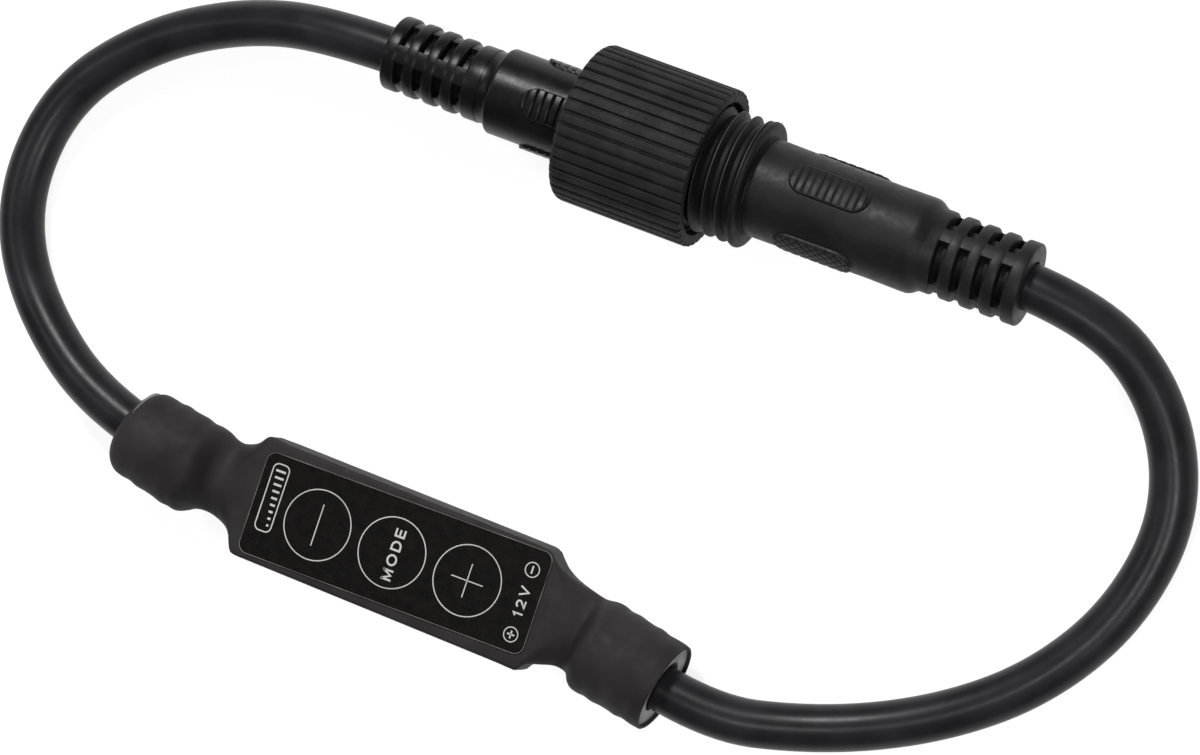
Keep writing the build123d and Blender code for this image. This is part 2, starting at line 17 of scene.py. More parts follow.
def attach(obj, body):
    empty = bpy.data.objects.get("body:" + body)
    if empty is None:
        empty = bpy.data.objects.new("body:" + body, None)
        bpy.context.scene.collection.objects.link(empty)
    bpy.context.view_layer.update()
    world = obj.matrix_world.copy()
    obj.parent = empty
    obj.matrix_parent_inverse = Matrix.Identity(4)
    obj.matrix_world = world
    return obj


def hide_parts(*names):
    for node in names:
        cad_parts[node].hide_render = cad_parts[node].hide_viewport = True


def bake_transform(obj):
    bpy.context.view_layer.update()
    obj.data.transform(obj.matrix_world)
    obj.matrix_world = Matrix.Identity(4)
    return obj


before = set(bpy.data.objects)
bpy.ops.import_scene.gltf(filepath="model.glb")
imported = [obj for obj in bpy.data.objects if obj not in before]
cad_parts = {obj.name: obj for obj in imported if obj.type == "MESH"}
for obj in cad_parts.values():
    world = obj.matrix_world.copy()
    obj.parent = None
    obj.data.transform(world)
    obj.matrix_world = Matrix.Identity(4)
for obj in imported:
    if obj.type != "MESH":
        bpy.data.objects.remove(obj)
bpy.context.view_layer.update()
MM = 0.001

# %% [markdown]
# ## Camera
# The object is seen from above, a little from the right, through a long lens. A camera can be turned by
# eye until the picture fits, but the printed face has three true circles, and fitting those gives its
# place, its turn and its lens at once. Places are in metres and turns in degrees.

# %% Camera
CAMERA_PLACE = (0.15506, 0.05182, 0.46856)
CAMERA_TURN = (3.0376, 16.9319, 21.0784)
LENS = 138.764
SENSOR_WIDTH = 36.0
CLIP_START = 0.01
camera_data = bpy.data.cameras.new("camera")
camera_data.sensor_width = SENSOR_WIDTH
camera_data.lens = LENS
camera_data.clip_start = CLIP_START
camera = bpy.data.objects.new("camera", camera_data)
camera.location = CAMERA_PLACE
camera.rotation_euler = [math.radians(angle) for angle in CAMERA_TURN]
bpy.context.scene.collection.objects.link(camera)
bpy.context.scene.camera = camera
bpy.context.scene.view_settings.view_transform = "Standard"
print("camera", round(camera.location.length, 3), "m from the origin")


# %% [markdown]
# ## Lamps and room
# Black plastic shows little but reflections, so each lamp stands where its mirror image falls on the
# round pieces and misses the flat film. The far lamp draws the long highlight along the connectors, and
# three weaker ones light the top, the right and the left. A lit sky picture could do this too, but four
# lamps are easier to move one at a time. A dim white room fills in the rest.

# %% Lamps and room
def soft_lamp(name, location, target, size, watts):
    """A square area lamp that faces a point on the object."""
    data = bpy.data.lights.new(name, "AREA")
    data.shape = "SQUARE"
    data.size = size
    data.energy = watts
    lamp = bpy.data.objects.new(name, data)
    lamp.location = location
    lamp.rotation_euler = (Vector(target) - Vector(location)).to_track_quat("-Z", "Y").to_euler()
    bpy.context.scene.collection.objects.link(lamp)


MIDDLE = (0.01, 0.025, 0.0)
SUPPLY_BEND = (0.06, 0.03, 0.0)
ROOM_LIGHT = 0.07
soft_lamp("far_lamp", (-0.19, 0.41, 0.55), MIDDLE, size=0.12, watts=4.0)
soft_lamp("over_lamp", (0.07, -0.08, 0.6), MIDDLE, size=0.06, watts=0.75)
soft_lamp("right_lamp", (0.28, -0.04, 0.35), SUPPLY_BEND, size=0.07, watts=0.6)
soft_lamp("left_lamp", (-0.42, -0.03, 0.5), MIDDLE, size=0.15, watts=0.3)
world = bpy.data.worlds.new("studio")
world.use_nodes = True
backdrop = world.node_tree.nodes["Background"]
backdrop.inputs["Color"].default_value = (1.0, 1.0, 1.0, 1.0)
backdrop.inputs["Strength"].default_value = ROOM_LIGHT
bpy.context.scene.world = world
print("lamps", [lamp.name for lamp in bpy.data.lights])

# %% [markdown]
# ## Table
# The object lies on plain white and throws hardly a shadow. Lamps strong enough to make a table white
# would also wash out the black pieces, so the table is a wide pale plane that glows by itself. It
# belongs to the stage and not to the object.

# %% Table
TABLE_REACH = 3.0
TABLE_GREY = 0.25
TABLE_ROUGHNESS = 0.9
TABLE_GLOW = 0.86
table_skin = bmesh.new()
bmesh.ops.create_grid(table_skin, x_segments=1, y_segments=1, size=TABLE_REACH)
table_mesh = bpy.data.meshes.new("table")
table_skin.to_mesh(table_mesh)
table_skin.free()
table = bpy.data.objects.new("table", table_mesh)
bpy.context.scene.collection.objects.link(table)
table_paint = bpy.data.materials.new("table_paint")
table_paint.use_nodes = True
table_shader = table_paint.node_tree.nodes["Principled BSDF"]
table_shader.inputs["Base Color"].default_value = (TABLE_GREY, TABLE_GREY, TABLE_GREY, 1.0)
table_shader.inputs["Roughness"].default_value = TABLE_ROUGHNESS
table_shader.inputs["Emission Color"].default_value = (1.0, 1.0, 1.0, 1.0)
table_shader.inputs["Emission Strength"].default_value = TABLE_GLOW
table_mesh.materials.append(table_paint)
print("table", 2.0 * TABLE_REACH, "m wide")


# %% [markdown]
# ## A moulded finish
# Nearly everything here is black, so the finishes differ in gloss, in grain and in how warm the black
# is. A picture could be wrapped on each piece, but plain noise needs no seams and stays sharp at any
# distance. One helper makes a moulded finish from three noises on Object coordinates: a slow one for the
# colour, a middle one for the gloss and a fine one for the grain of the mould. Scales are in waves per
# metre.

# %% Nodes that every finish needs
def link(tree, source, output, target, socket):
    """Join two sockets by their names."""
    tree.links.new(source.outputs[output], target.inputs[socket])


def add_noise(tree, place, scale, detail):
    """A noise of one scale on Object coordinates."""
    noise = tree.nodes.new("ShaderNodeTexNoise")
    noise.inputs["Scale"].default_value = scale
    noise.inputs["Detail"].default_value = detail
    link(tree, place, "Object", noise, "Vector")
    return noise


# %% A moulded finish
NOISE_LOW = 0.3
NOISE_HIGH = 0.7
GLOSS_SCALE_RATIO = 5.0


def moulded_finish(name, dark, light, gloss, grain, mottling=120.0, grain_scale=2500.0, mirror=0.5):
    """Dark and light colour, least and most roughness, and the depth of the grain in millimetres."""
    material = bpy.data.materials.new(name)
    material.use_nodes = True
    tree = material.node_tree
    shader = tree.nodes["Principled BSDF"]
    shader.inputs["Specular IOR Level"].default_value = mirror
    place = tree.nodes.new("ShaderNodeTexCoord")

    slow = add_noise(tree, place, mottling, detail=4.0)
    tint = tree.nodes.new("ShaderNodeValToRGB")
    low, high = tint.color_ramp.elements
    low.position = NOISE_LOW
    low.color = (*dark, 1.0)
    high.position = NOISE_HIGH
    high.color = (*light, 1.0)
    link(tree, slow, "Fac", tint, "Fac")
    link(tree, tint, "Color", shader, "Base Color")

    wear = add_noise(tree, place, mottling * GLOSS_SCALE_RATIO, detail=3.0)
    shine = tree.nodes.new("ShaderNodeMapRange")
    shine.inputs["From Min"].default_value = NOISE_LOW
    shine.inputs["From Max"].default_value = NOISE_HIGH
    shine.inputs["To Min"].default_value = gloss[0]
    shine.inputs["To Max"].default_value = gloss[1]
    link(tree, wear, "Fac", shine, "Value")
    link(tree, shine, "Result", shader, "Roughness")

    fine = add_noise(tree, place, grain_scale, detail=2.0)
    bump = tree.nodes.new("ShaderNodeBump")
    bump.inputs["Strength"].default_value = 1.0
    bump.inputs["Distance"].default_value = grain * MM
    link(tree, fine, "Fac", bump, "Height")
    link(tree, bump, "Normal", shader, "Normal")
    return material


# %% [markdown]
# ## Finishes of the controller and the leads
# The shrink sleeve is matt and a warm black. The film on it is the darkest and one of the smoothest things
# here. Its cut edge and a thin band round its top are painted pale grey, a painted highlight for the light
# line that the raised edge catches. The leads are smooth soft plastic of a cooler black, and grey glue
# lines the collars. One black for all would be simpler, but in lamp light these small differences are what
# tells the pieces apart.

# %% Finishes of the controller and the leads
shrink_sleeve_black = moulded_finish(
    "shrink_sleeve_black", dark=(0.0125, 0.011, 0.0113), light=(0.025, 0.0222, 0.0228),
    gloss=(0.6, 0.75), grain=0.016, mottling=170.0, mirror=0.2,
)
film_black = moulded_finish(
    "film_black", dark=(0.0025, 0.0022, 0.0021), light=(0.0065, 0.0057, 0.0054),
    gloss=(0.26, 0.34), grain=0.003, mottling=900.0, grain_scale=9000.0, mirror=0.16,
)
# Pale grey for the film's edge: a painted highlight for the light line along its raised edge.
film_edge_painted_highlight = moulded_finish(
    "film_edge_painted_highlight", dark=(0.04, 0.039, 0.038), light=(0.2, 0.195, 0.19),
    gloss=(0.4, 0.5), grain=0.004, mottling=300.0,
)
white_ink = moulded_finish(
    "white_ink", dark=(0.42, 0.42, 0.415), light=(0.55, 0.55, 0.545), gloss=(0.45, 0.6), grain=0.004
)
cable_black = moulded_finish(
    "cable_black", dark=(0.01, 0.0096, 0.0107), light=(0.0195, 0.0187, 0.021),
    gloss=(0.3, 0.37), grain=0.003, mottling=200.0, grain_scale=3500.0, mirror=0.15,
)
lining_grey = moulded_finish(
    "lining_grey", dark=(0.12, 0.118, 0.12), light=(0.24, 0.235, 0.238),
    gloss=(0.5, 0.65), grain=0.03, mottling=500.0,
)
print("controller and leads:", len(bpy.data.materials), "materials so far")

# %% [markdown]
# ## Finishes of the connectors
# The plug is moulded smooth, the socket is a little duller, and the nut is matt and sandy. The crests of
# the thread are painted grey, a painted highlight for the thin light line that they catch. One material
# with painted masks could hold all of them, but a finish for each piece is easier to set.

# %% Finishes of the connectors
plug_black = moulded_finish(
    "plug_black", dark=(0.003, 0.003, 0.0032), light=(0.0065, 0.0065, 0.0068),
    gloss=(0.3, 0.38), grain=0.01, mottling=220.0, grain_scale=2200.0, mirror=0.2,
)
socket_black = moulded_finish(
    "socket_black", dark=(0.006, 0.006, 0.0063), light=(0.012, 0.0118, 0.0125),
    gloss=(0.42, 0.54), grain=0.016, mottling=240.0, grain_scale=2000.0, mirror=0.2,
)
nut_black = moulded_finish(
    "nut_black", dark=(0.008, 0.008, 0.0086), light=(0.018, 0.0178, 0.019),
    gloss=(0.6, 0.75), grain=0.025, mottling=420.0, grain_scale=3000.0, mirror=0.2,
)
insert_black = moulded_finish(
    "insert_black", dark=(0.003, 0.003, 0.0032), light=(0.007, 0.007, 0.0075),
    gloss=(0.5, 0.6), grain=0.006, mottling=250.0, grain_scale=4000.0, mirror=0.15,
)
# Grey for the thread's crests: a painted highlight for the thin light line along them.
crest_painted_highlight = moulded_finish(
    "crest_painted_highlight", dark=(0.012, 0.012, 0.0125), light=(0.04, 0.04, 0.042),
    gloss=(0.5, 0.6), grain=0.004, mottling=400.0, mirror=0.3,
)
print("connectors:", len(bpy.data.materials), "materials so far")

# %% [markdown]
# ## Finishes of what lies inside
# The board, its parts, the cores and the contacts show only in a cut-away view or when the plug is drawn
# out. They could be left in the plain colours of the drawing, but the same helper gives them a believable
# finish in one line each. Brass is a metal, which is set on the shader's own socket.

# %% Finishes of what lies inside
board_green = moulded_finish(
    "board_green", dark=(0.01, 0.05, 0.02), light=(0.015, 0.07, 0.03), gloss=(0.3, 0.4), grain=0.005
)
part_black = moulded_finish(
    "part_black", dark=(0.01, 0.01, 0.01), light=(0.02, 0.02, 0.02), gloss=(0.45, 0.6), grain=0.01
)
plunger_grey = moulded_finish(
    "plunger_grey", dark=(0.2, 0.2, 0.19), light=(0.3, 0.3, 0.29), gloss=(0.4, 0.5), grain=0.005
)
capacitor_tan = moulded_finish(
    "capacitor_tan", dark=(0.2, 0.12, 0.06), light=(0.3, 0.19, 0.1), gloss=(0.5, 0.6), grain=0.01
)
core_red = moulded_finish(
    "core_red", dark=(0.28, 0.012, 0.01), light=(0.36, 0.02, 0.016), gloss=(0.35, 0.45), grain=0.004
)
core_black = moulded_finish(
    "core_black", dark=(0.01, 0.01, 0.01), light=(0.016, 0.016, 0.016), gloss=(0.35, 0.45), grain=0.004
)
contact_brass = moulded_finish(
    "contact_brass", dark=(0.45, 0.3, 0.12), light=(0.6, 0.42, 0.2), gloss=(0.25, 0.4), grain=0.003
)
contact_brass.node_tree.nodes["Principled BSDF"].inputs["Metallic"].default_value = 1.0
print("inside:", len(bpy.data.materials), "materials in all")

# %% [markdown]
# ## From bmesh to piece
# Every mesh ends the same way: doubles merged, normals turned outwards, scaled to metres, shaded smooth
# except across its sharp edges, and set to ride on a CAD body in place of a CAD node. A modifier could
# split the shading by angle, but sharp edges that are marked in the mesh itself go with it wherever it
# is exported.

# %% Finish a piece
MERGE_DISTANCE = 0.002


def finish_piece(bm, name, finishes, body, nodes, sharp_angle=35.0):
    """Turn a bmesh in millimetres into a piece of the object."""
    bmesh.ops.remove_doubles(bm, verts=bm.verts, dist=MERGE_DISTANCE)
    bmesh.ops.recalc_face_normals(bm, faces=bm.faces)
    bmesh.ops.scale(bm, vec=(MM, MM, MM), verts=bm.verts)
    for face in bm.faces:
        face.smooth = True
    for edge in bm.edges:
        edge.smooth = edge.calc_face_angle(0.0) < math.radians(sharp_angle)
    mesh = bpy.data.meshes.new(name)
    bm.to_mesh(mesh)
    bm.free()
    for finish in finishes:
        mesh.materials.append(finish)
    piece = bpy.data.objects.new(name, mesh)
    bpy.context.scene.collection.objects.link(piece)
    if body:
        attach(piece, body)
    if nodes:
        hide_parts(*nodes)
    print(name, len(mesh.polygons), "faces")
    return piece


# %% [markdown]
# ## Skins that grow ring by ring
# Most pieces here are tubes of some kind: the sleeve, the leads, the mouldings and the nut. A modifier
# could sweep a profile along a line, but a circle that is extruded ring by ring leaves every ring free
# to have its own shape. Each vertex remembers its column, so that a formula can put it in its place.

# %% Grow a skin ring by ring
def only_verts(geometry):
    """The vertices in what an operator returned."""
    return [item for item in geometry if isinstance(item, bmesh.types.BMVert)]


def grow_rings(bm, columns, ring_count, place):
    """Grow a skin ring by ring: a circle is extruded, and each new ring is moved into place."""
    column = bm.verts.layers.int.new("column")
    ring = bmesh.ops.create_circle(bm, segments=columns, radius=1.0)["verts"]
    for number, vert in enumerate(ring):
        vert[column] = number
    edges = list({edge for vert in ring for edge in vert.link_edges})
    first_edges = edges
    for step in range(ring_count):
        if step:
            grown = bmesh.ops.extrude_edge_only(bm, edges=edges)["geom"]
            ring = only_verts(grown)
            members = set(ring)
            edges = [
                item
                for item in grown
                if isinstance(item, bmesh.types.BMEdge) and members.issuperset(item.verts)
            ]
        for vert in ring:
            vert.co = place(step, vert[column])
    return first_edges, edges


# %% [markdown]
# ## Smooth steps and smooth lines
# Moulded and shrunk forms have no sudden changes. A curve object could hold such a line, but short
# formulas are enough: one eases from 0 to 1, one mixes two values, and one draws a smooth line through a
# few measured points.

# %% Smooth steps and smooth lines
def ease(share):
    """Smooth step from 0 to 1."""
    share = min(max(share, 0.0), 1.0)
    return share * share * (3.0 - 2.0 * share)


def mix(first, second, share):
    """A value part way between two others."""
    return first + (second - first) * share


def through(points, at):
    """A smooth line through a few points of place and value, read at one place."""
    last = len(points) - 1
    at = min(max(at, points[0][0]), points[last][0])
    left = max(number for number in range(last) if points[number][0] <= at)
    slopes = []
    for number in (left, left + 1):
        before = points[max(number - 1, 0)]
        after = points[min(number + 1, last)]
        slopes.append((after[1] - before[1]) / (after[0] - before[0]))
    span = points[left + 1][0] - points[left][0]
    rise = points[left + 1][1] - points[left][1]
    share = (at - points[left][0]) / span
    bow = mix(slopes[0] * span - rise, rise - slopes[1] * span, share)
    return points[left][1] + rise * share + share * (1.0 - share) * bow


# %% [markdown]
# ## Shrink sleeve
# One piece of shrink tube covers the controller. It is flat over the board with a crisp upper edge and a
# round lower one, pinched beside the board and round over the leads, with faint uneven ripples. The lamp
# end closes in on its lead and the supply end is cut open. A loft through a few drawn profiles would do,
# but growing the skin ring by ring lets each ring change from a rounded box to an oval, and carries on
# inside to make the hollow tube that it really is. Runs are measured outwards from the ends of the flat
# body.

# %% Sizes of the sleeve
BODY_END = 17.3
BODY_HEIGHT = 7.6
BODY_UPPER_EDGE = 0.4
BODY_UNDER_EDGE = 2.5
BODY_WAIST = 4.4
COLLAR_AXIS_Z = 5.1
COLLAR_ROOT = 6.9
CORNER_START = -2.2
BORE_RADIUS = 4.65

# Each end has its turn, its length, its half width on either side and its top, all along the run
supply_form = {
    "side": 1,
    "turn": math.radians(-10.2),
    "end_turn": 0.0,
    "length": 15.4,
    "upper": [(-2.2, 6.53), (-1.25, 6.46), (-0.85, 6.38), (-0.3, 5.86), (0.4, 5.3), (1.9, 4.71), (3.7, 4.5),
              (5.0, 4.53), (6.5, 5.02), (8.0, 5.08), (15.4, 5.05)],
    "lower": [(-2.2, 6.64), (-0.6, 6.68), (-0.1, 6.6), (0.2, 6.12), (0.5, 5.7), (1.0, 5.38), (2.0, 4.97),
              (3.6, 4.4), (5.0, 4.3), (5.7, 4.55), (6.3, 5.12), (7.0, 5.38), (10.0, 5.28), (15.4, 5.08)],
    "top": [(-2.2, 7.6), (0.0, 7.6), (1.2, 7.46), (3.0, 6.85), (4.2, 6.4), (4.9, 6.75), (5.6, 8.5),
            (6.2, 9.65), (6.9, 10.02), (8.0, 10.14), (15.4, 10.18)],
}
lamp_form = {
    "side": -1,
    "turn": math.radians(-6.0),
    "end_turn": math.radians(-6.0),
    "length": 16.4,
    "upper": [(-2.2, 6.53), (-0.2, 6.68), (0.3, 6.5), (0.8, 5.98), (1.2, 5.56), (1.6, 5.28), (2.2, 4.95),
              (3.2, 4.5), (4.2, 4.18), (5.2, 4.25), (6.4, 4.66), (8.4, 4.83), (11.0, 5.0), (16.4, 5.06)],
    "lower": [(-2.2, 6.62), (-0.2, 6.54), (0.3, 6.06), (0.8, 5.16), (1.3, 4.7), (1.8, 4.48), (3.2, 4.28),
              (4.6, 4.22), (5.8, 4.5), (6.7, 5.18), (7.5, 5.62), (8.5, 5.7), (12.0, 5.36), (16.4, 4.92)],
    "top": [(-2.2, 7.6), (0.0, 7.6), (1.5, 7.45), (3.2, 7.1), (4.3, 7.05), (5.2, 7.65), (6.0, 8.85),
            (6.6, 9.65), (7.2, 10.0), (8.5, 10.14), (16.4, 10.18)],
}
under_line = [(-2.2, 0.0), (0.0, 0.2), (2.0, 0.6), (4.2, 0.8), (6.0, 0.35), (7.5, 0.0), (20.0, 0.0)]
sleeve_length = 2.0 * BODY_END + supply_form["length"] + lamp_form["length"]
print("sleeve", round(sleeve_length, 1), "mm along its runs")

# %% [markdown]
# ## Rings of the outside
# Over the flat body a ring is a rounded box, at a neck it is a flat oval and over a collar it is nearly a
# circle. It could be mixed from three drawn shapes, but a ring that is told only its half widths, its
# top, its bottom and its roundness changes evenly from one to the next. Each change of form has the run
# where it starts and the run that it takes.

# %% Rings of the outside
WAIST_START = 4.0
WAIST_RUN = 4.0
TURN_RUN = 5.0
END_TURN_START = 8.0
END_TURN_RUN = 8.0
ROUND_START = -0.3
ROUND_RUN = 4.4
UNDER_ROUND_RUN = 1.7
RIPPLE_START = 5.5
RIPPLE_RUN = 3.0
RIPPLE_DEPTH = 0.13


def outer_ring(form, run):
    """A ring of the outside, this far out from the end of the flat body."""
    turn = form["turn"]
    end_turn = form["end_turn"] * ease((run - END_TURN_START) / END_TURN_RUN)
    return {
        "middle": (
            form["side"] * (BODY_END + run * math.cos(turn)),
            form["side"] * max(run, 0.0) * math.sin(turn),
        ),
        "turn": turn * ease(run / TURN_RUN) + end_turn,
        "upper": through(form["upper"], run),
        "lower": through(form["lower"], run),
        "top": through(form["top"], run),
        "bottom": through(under_line, run),
        "waist": mix(BODY_WAIST, COLLAR_AXIS_Z, ease((run - WAIST_START) / WAIST_RUN)),
        "roundness": ease((run - ROUND_START) / ROUND_RUN),
        "under_roundness": ease((run - CORNER_START) / UNDER_ROUND_RUN),
        "ripple": RIPPLE_DEPTH * ease((run - RIPPLE_START) / RIPPLE_RUN),
        "run": run,
        "inset": 0.0,
    }


neck = outer_ring(supply_form, WAIST_START)
print("supply neck", round(neck["upper"] + neck["lower"], 2), "mm wide")

# %% [markdown]
# ## Rings of the inside
# The tube is hollow: it lies round the board, narrows over the cores in the necks and opens again in the
# collars. A Solidify modifier would give it a wall of even thickness, but the room inside follows what
# lies in it, so the inside has plain rings of its own.

# %% Rings of the inside
PASSAGE_HALF_WIDTH = 2.3
PASSAGE_HALF_HEIGHT = 1.15
CORE_FOOT_X = 12.8
CORE_FOOT_Z = 4.525
CORE_REACH = 12.7
CAVITY_HALF_WIDTH = 5.75
CAVITY_FLOOR = 0.9
CAVITY_TOP = 6.7


def round_ring(form, run, radius):
    """A plain round ring on the axis of a collar."""
    ring = outer_ring(form, run)
    ring.update(upper=radius, lower=radius, bottom=COLLAR_AXIS_Z - radius, top=COLLAR_AXIS_Z + radius)
    ring.update(waist=COLLAR_AXIS_Z, roundness=1.0, under_roundness=1.0, ripple=0.0)
    return ring


def passage_ring(form, run):
    """An oval ring of the narrow way through a neck, which the two cores of a lead fill."""
    ring = round_ring(form, run, PASSAGE_HALF_WIDTH)
    middle_z = mix(CORE_FOOT_Z, COLLAR_AXIS_Z, (run + BODY_END - CORE_FOOT_X) / CORE_REACH)
    ring.update(bottom=middle_z - PASSAGE_HALF_HEIGHT, top=middle_z + PASSAGE_HALF_HEIGHT, waist=middle_z)
    return ring


def cavity_ring(x):
    """A rounded box round the board, across the flat body."""
    ring = outer_ring(supply_form, CORNER_START)
    ring.update(middle=(x, 0.0), upper=CAVITY_HALF_WIDTH, lower=CAVITY_HALF_WIDTH)
    ring.update(bottom=CAVITY_FLOOR, top=CAVITY_TOP)
    return ring


# %% [markdown]
# ## Points on a ring
# The columns of a ring run round the four quarters of a rounded box, each along a quarter of an oval
# whose size follows the roundness. The collars of a shrunk tube are faintly wrinkled. A noise in the
# finish could fake that, but two slanting waves in the skin itself also show in its outline and stay in
# the exported mesh.

# %% Ripples
RIPPLE_MEAN = 0.5
RIPPLE_SWING = 0.36
BROAD_WAVE = 2.5
BROAD_DRIFT = 0.8
BROAD_BEARING = 0.6
NARROW_WAVE = 4.1
NARROW_DRIFT = 2.3
NARROW_BEARING = 1.1
NARROW_SHIFT = 2.0
NARROW_SHARE = 0.35


def ripple_wave(run, bearing):
    """Two waves along the run, which drift to and fro round the collar."""
    broad = math.sin(BROAD_WAVE * run + BROAD_DRIFT * math.sin(bearing + BROAD_BEARING))
    narrow_drift = NARROW_DRIFT * math.sin(bearing - NARROW_BEARING)
    return broad + NARROW_SHARE * math.sin(NARROW_WAVE * run + narrow_drift + NARROW_SHIFT)


# %% A point on a ring
QUARTER_COLUMNS = 32
rings = []


def sleeve_point(step, column):
    """Where a column of a ring lies: a box with round corners, turned with the sleeve's axis."""
    ring = rings[step]
    quarter, part = divmod(column, QUARTER_COLUMNS)
    swing = math.radians(90.0 * (part + 0.5) / QUARTER_COLUMNS)
    if quarter % 2:
        swing = math.pi / 2.0 - swing
    beside = 1.0 if quarter in (0, 3) else -1.0
    above = 1.0 if quarter in (0, 1) else -1.0
    bearing = math.atan2(above * math.sin(swing), beside * math.cos(swing))
    wave = ripple_wave(ring["run"], bearing)
    shrink = ring["inset"] + ring["ripple"] * (RIPPLE_MEAN + RIPPLE_SWING * wave)
    half_width = (ring["upper"] if beside > 0.0 else ring["lower"]) - shrink
    half_height = abs((ring["top"] if above > 0.0 else ring["bottom"]) - ring["waist"]) - shrink
    edge = BODY_UPPER_EDGE if above > 0.0 else BODY_UNDER_EDGE
    roundness = ring["roundness"] if above > 0.0 else ring["under_roundness"]
    round_across = mix(min(edge, half_width), half_width, roundness)
    round_upright = mix(min(edge, half_height), half_height, roundness)
    sideways = beside * (half_width - round_across * (1.0 - math.cos(swing)))
    z = ring["waist"] + above * (half_height - round_upright * (1.0 - math.sin(swing)))
    x = ring["middle"][0] - sideways * math.sin(ring["turn"])
    y = ring["middle"][1] + sideways * math.cos(ring["turn"])
    return Vector((x, y, max(z, 0.0)))


# %% [markdown]
# ## Build the sleeve
# The rings are listed in the order in which the skin grows: out of the lamp lead's hole, over a rounded
# lip, along the outside to the thin rim of the supply end, and back through the inside. The last ring is
# bridged to the first. Two skins joined at the rims would do too, but one closed skin has no seams to
# leak.

# %% Outside of the sleeve
LIP = 1.8
LIP_STEPS = 10
LIP_DEPTH = 1.0
LAMP_HOLE_RADIUS = 2.8
HOLE_FLARE = 0.2
FLARE_START = 0.25
FLARE_END = 0.04
END_STEPS = 56
RIM = 0.12
lamp_end = lamp_form["length"]
supply_end = supply_form["length"]
rings.append(round_ring(lamp_form, lamp_end - LIP_DEPTH, LAMP_HOLE_RADIUS))
rings.append(round_ring(lamp_form, lamp_end - FLARE_START, LAMP_HOLE_RADIUS))
rings.append(round_ring(lamp_form, lamp_end - FLARE_END, LAMP_HOLE_RADIUS + HOLE_FLARE))
for step in range(LIP_STEPS + 1):
    swing = math.radians(90.0 * step / LIP_STEPS)
    ring = outer_ring(lamp_form, lamp_end - LIP * (1.0 - math.cos(swing)))
    ring["inset"] = LIP * (1.0 - math.sin(swing))
    rings.append(ring)
for step in range(1, END_STEPS + 1):
    rings.append(outer_ring(lamp_form, mix(lamp_end - LIP, CORNER_START, step / END_STEPS)))
for step in range(END_STEPS + 1):
    rings.append(outer_ring(supply_form, mix(CORNER_START, supply_end - RIM, step / END_STEPS)))
rim = outer_ring(supply_form, supply_end)
rim["inset"] = RIM
rings.append(rim)
print("rings outside", len(rings))

# %% Inside of the sleeve
CAVITY_END = 16.2
END_WALL = 0.01
ROOT_WALL = 0.02
BORE_FLARE = 0.08
rings.append(round_ring(supply_form, supply_end, BORE_RADIUS + BORE_FLARE))
rings.append(round_ring(supply_form, supply_end - RIM, BORE_RADIUS))
rings.append(round_ring(supply_form, COLLAR_ROOT + ROOT_WALL, BORE_RADIUS))
for run in (COLLAR_ROOT, 0.0, CAVITY_END - BODY_END):
    rings.append(passage_ring(supply_form, run))
for x in (CAVITY_END - END_WALL, END_WALL - CAVITY_END):
    rings.append(cavity_ring(x))
for run in (CAVITY_END - BODY_END, 0.0, COLLAR_ROOT):
    rings.append(passage_ring(lamp_form, run))
rings.append(round_ring(lamp_form, COLLAR_ROOT + ROOT_WALL, BORE_RADIUS))
rings.append(round_ring(lamp_form, lamp_end - LIP_DEPTH - ROOT_WALL, BORE_RADIUS))
print("rings in all", len(rings))

# %% Skin of the sleeve
sleeve_skin = bmesh.new()
first_edges, last_edges = grow_rings(sleeve_skin, 4 * QUARTER_COLUMNS, len(rings), sleeve_point)
bmesh.ops.bridge_loops(sleeve_skin, edges=first_edges + last_edges)
finish_piece(
    sleeve_skin, "sleeve", [shrink_sleeve_black], "controller", ["heat_shrink_sleeve"]
)

# %% [markdown]
# ## Face film
# The face is a thin black film with rounded corners, stuck on a little askew, so its corners nearly reach
# the edges of the sleeve. Its cut edge and a thin band round its top are painted pale grey, a painted
# highlight along the raised edge. A plane with a Solidify modifier would look the same, but an extruded
# face keeps its side faces apart, so that they can have their own finish.

# %% Film
FILM_TOP = 7.8
FILM_TURN = math.radians(1.57)
FILM_SIZE = (33.8, 11.3, 1.0)
FILM_PLACE = (0.3, 0.15, BODY_HEIGHT)
FILM_CORNER = 1.1
FILM_RIM = 0.06
SIDE_LIMIT = 0.5
film_matrix = Matrix.Rotation(FILM_TURN, 4, "Z")
film_skin = bmesh.new()
bmesh.ops.create_grid(film_skin, x_segments=1, y_segments=1, size=0.5)
bmesh.ops.scale(film_skin, vec=FILM_SIZE, verts=film_skin.verts)
bmesh.ops.translate(film_skin, vec=FILM_PLACE, verts=film_skin.verts)
bmesh.ops.bevel(
    film_skin,
    geom=list(film_skin.verts),
    offset=FILM_CORNER,
    offset_type="OFFSET",
    segments=10,
    profile=0.5,
    affect="VERTICES",
    material=-1,
)
raised = bmesh.ops.extrude_face_region(film_skin, geom=list(film_skin.faces))["geom"]
bmesh.ops.translate(film_skin, vec=(0.0, 0.0, FILM_TOP - BODY_HEIGHT), verts=only_verts(raised))
film_skin.normal_update()
# The side faces get the pale grey, a painted highlight along the raised edge.
for face in film_skin.faces:
    face.material_index = 1 if abs(face.normal.z) < SIDE_LIMIT else 0
top_face = max(film_skin.faces, key=lambda face: face.calc_center_median().z)
# A thin band round the top also gets the pale grey, a painted highlight along the edge.
rim_faces = bmesh.ops.inset_region(film_skin, faces=[top_face], thickness=FILM_RIM, depth=0.0)["faces"]
for face in rim_faces:
    face.material_index = 1
bmesh.ops.transform(film_skin, matrix=film_matrix, verts=film_skin.verts)
finish_piece(
    film_skin, "face_film", [film_black, film_edge_painted_highlight], "controller", ["face_label"]
)

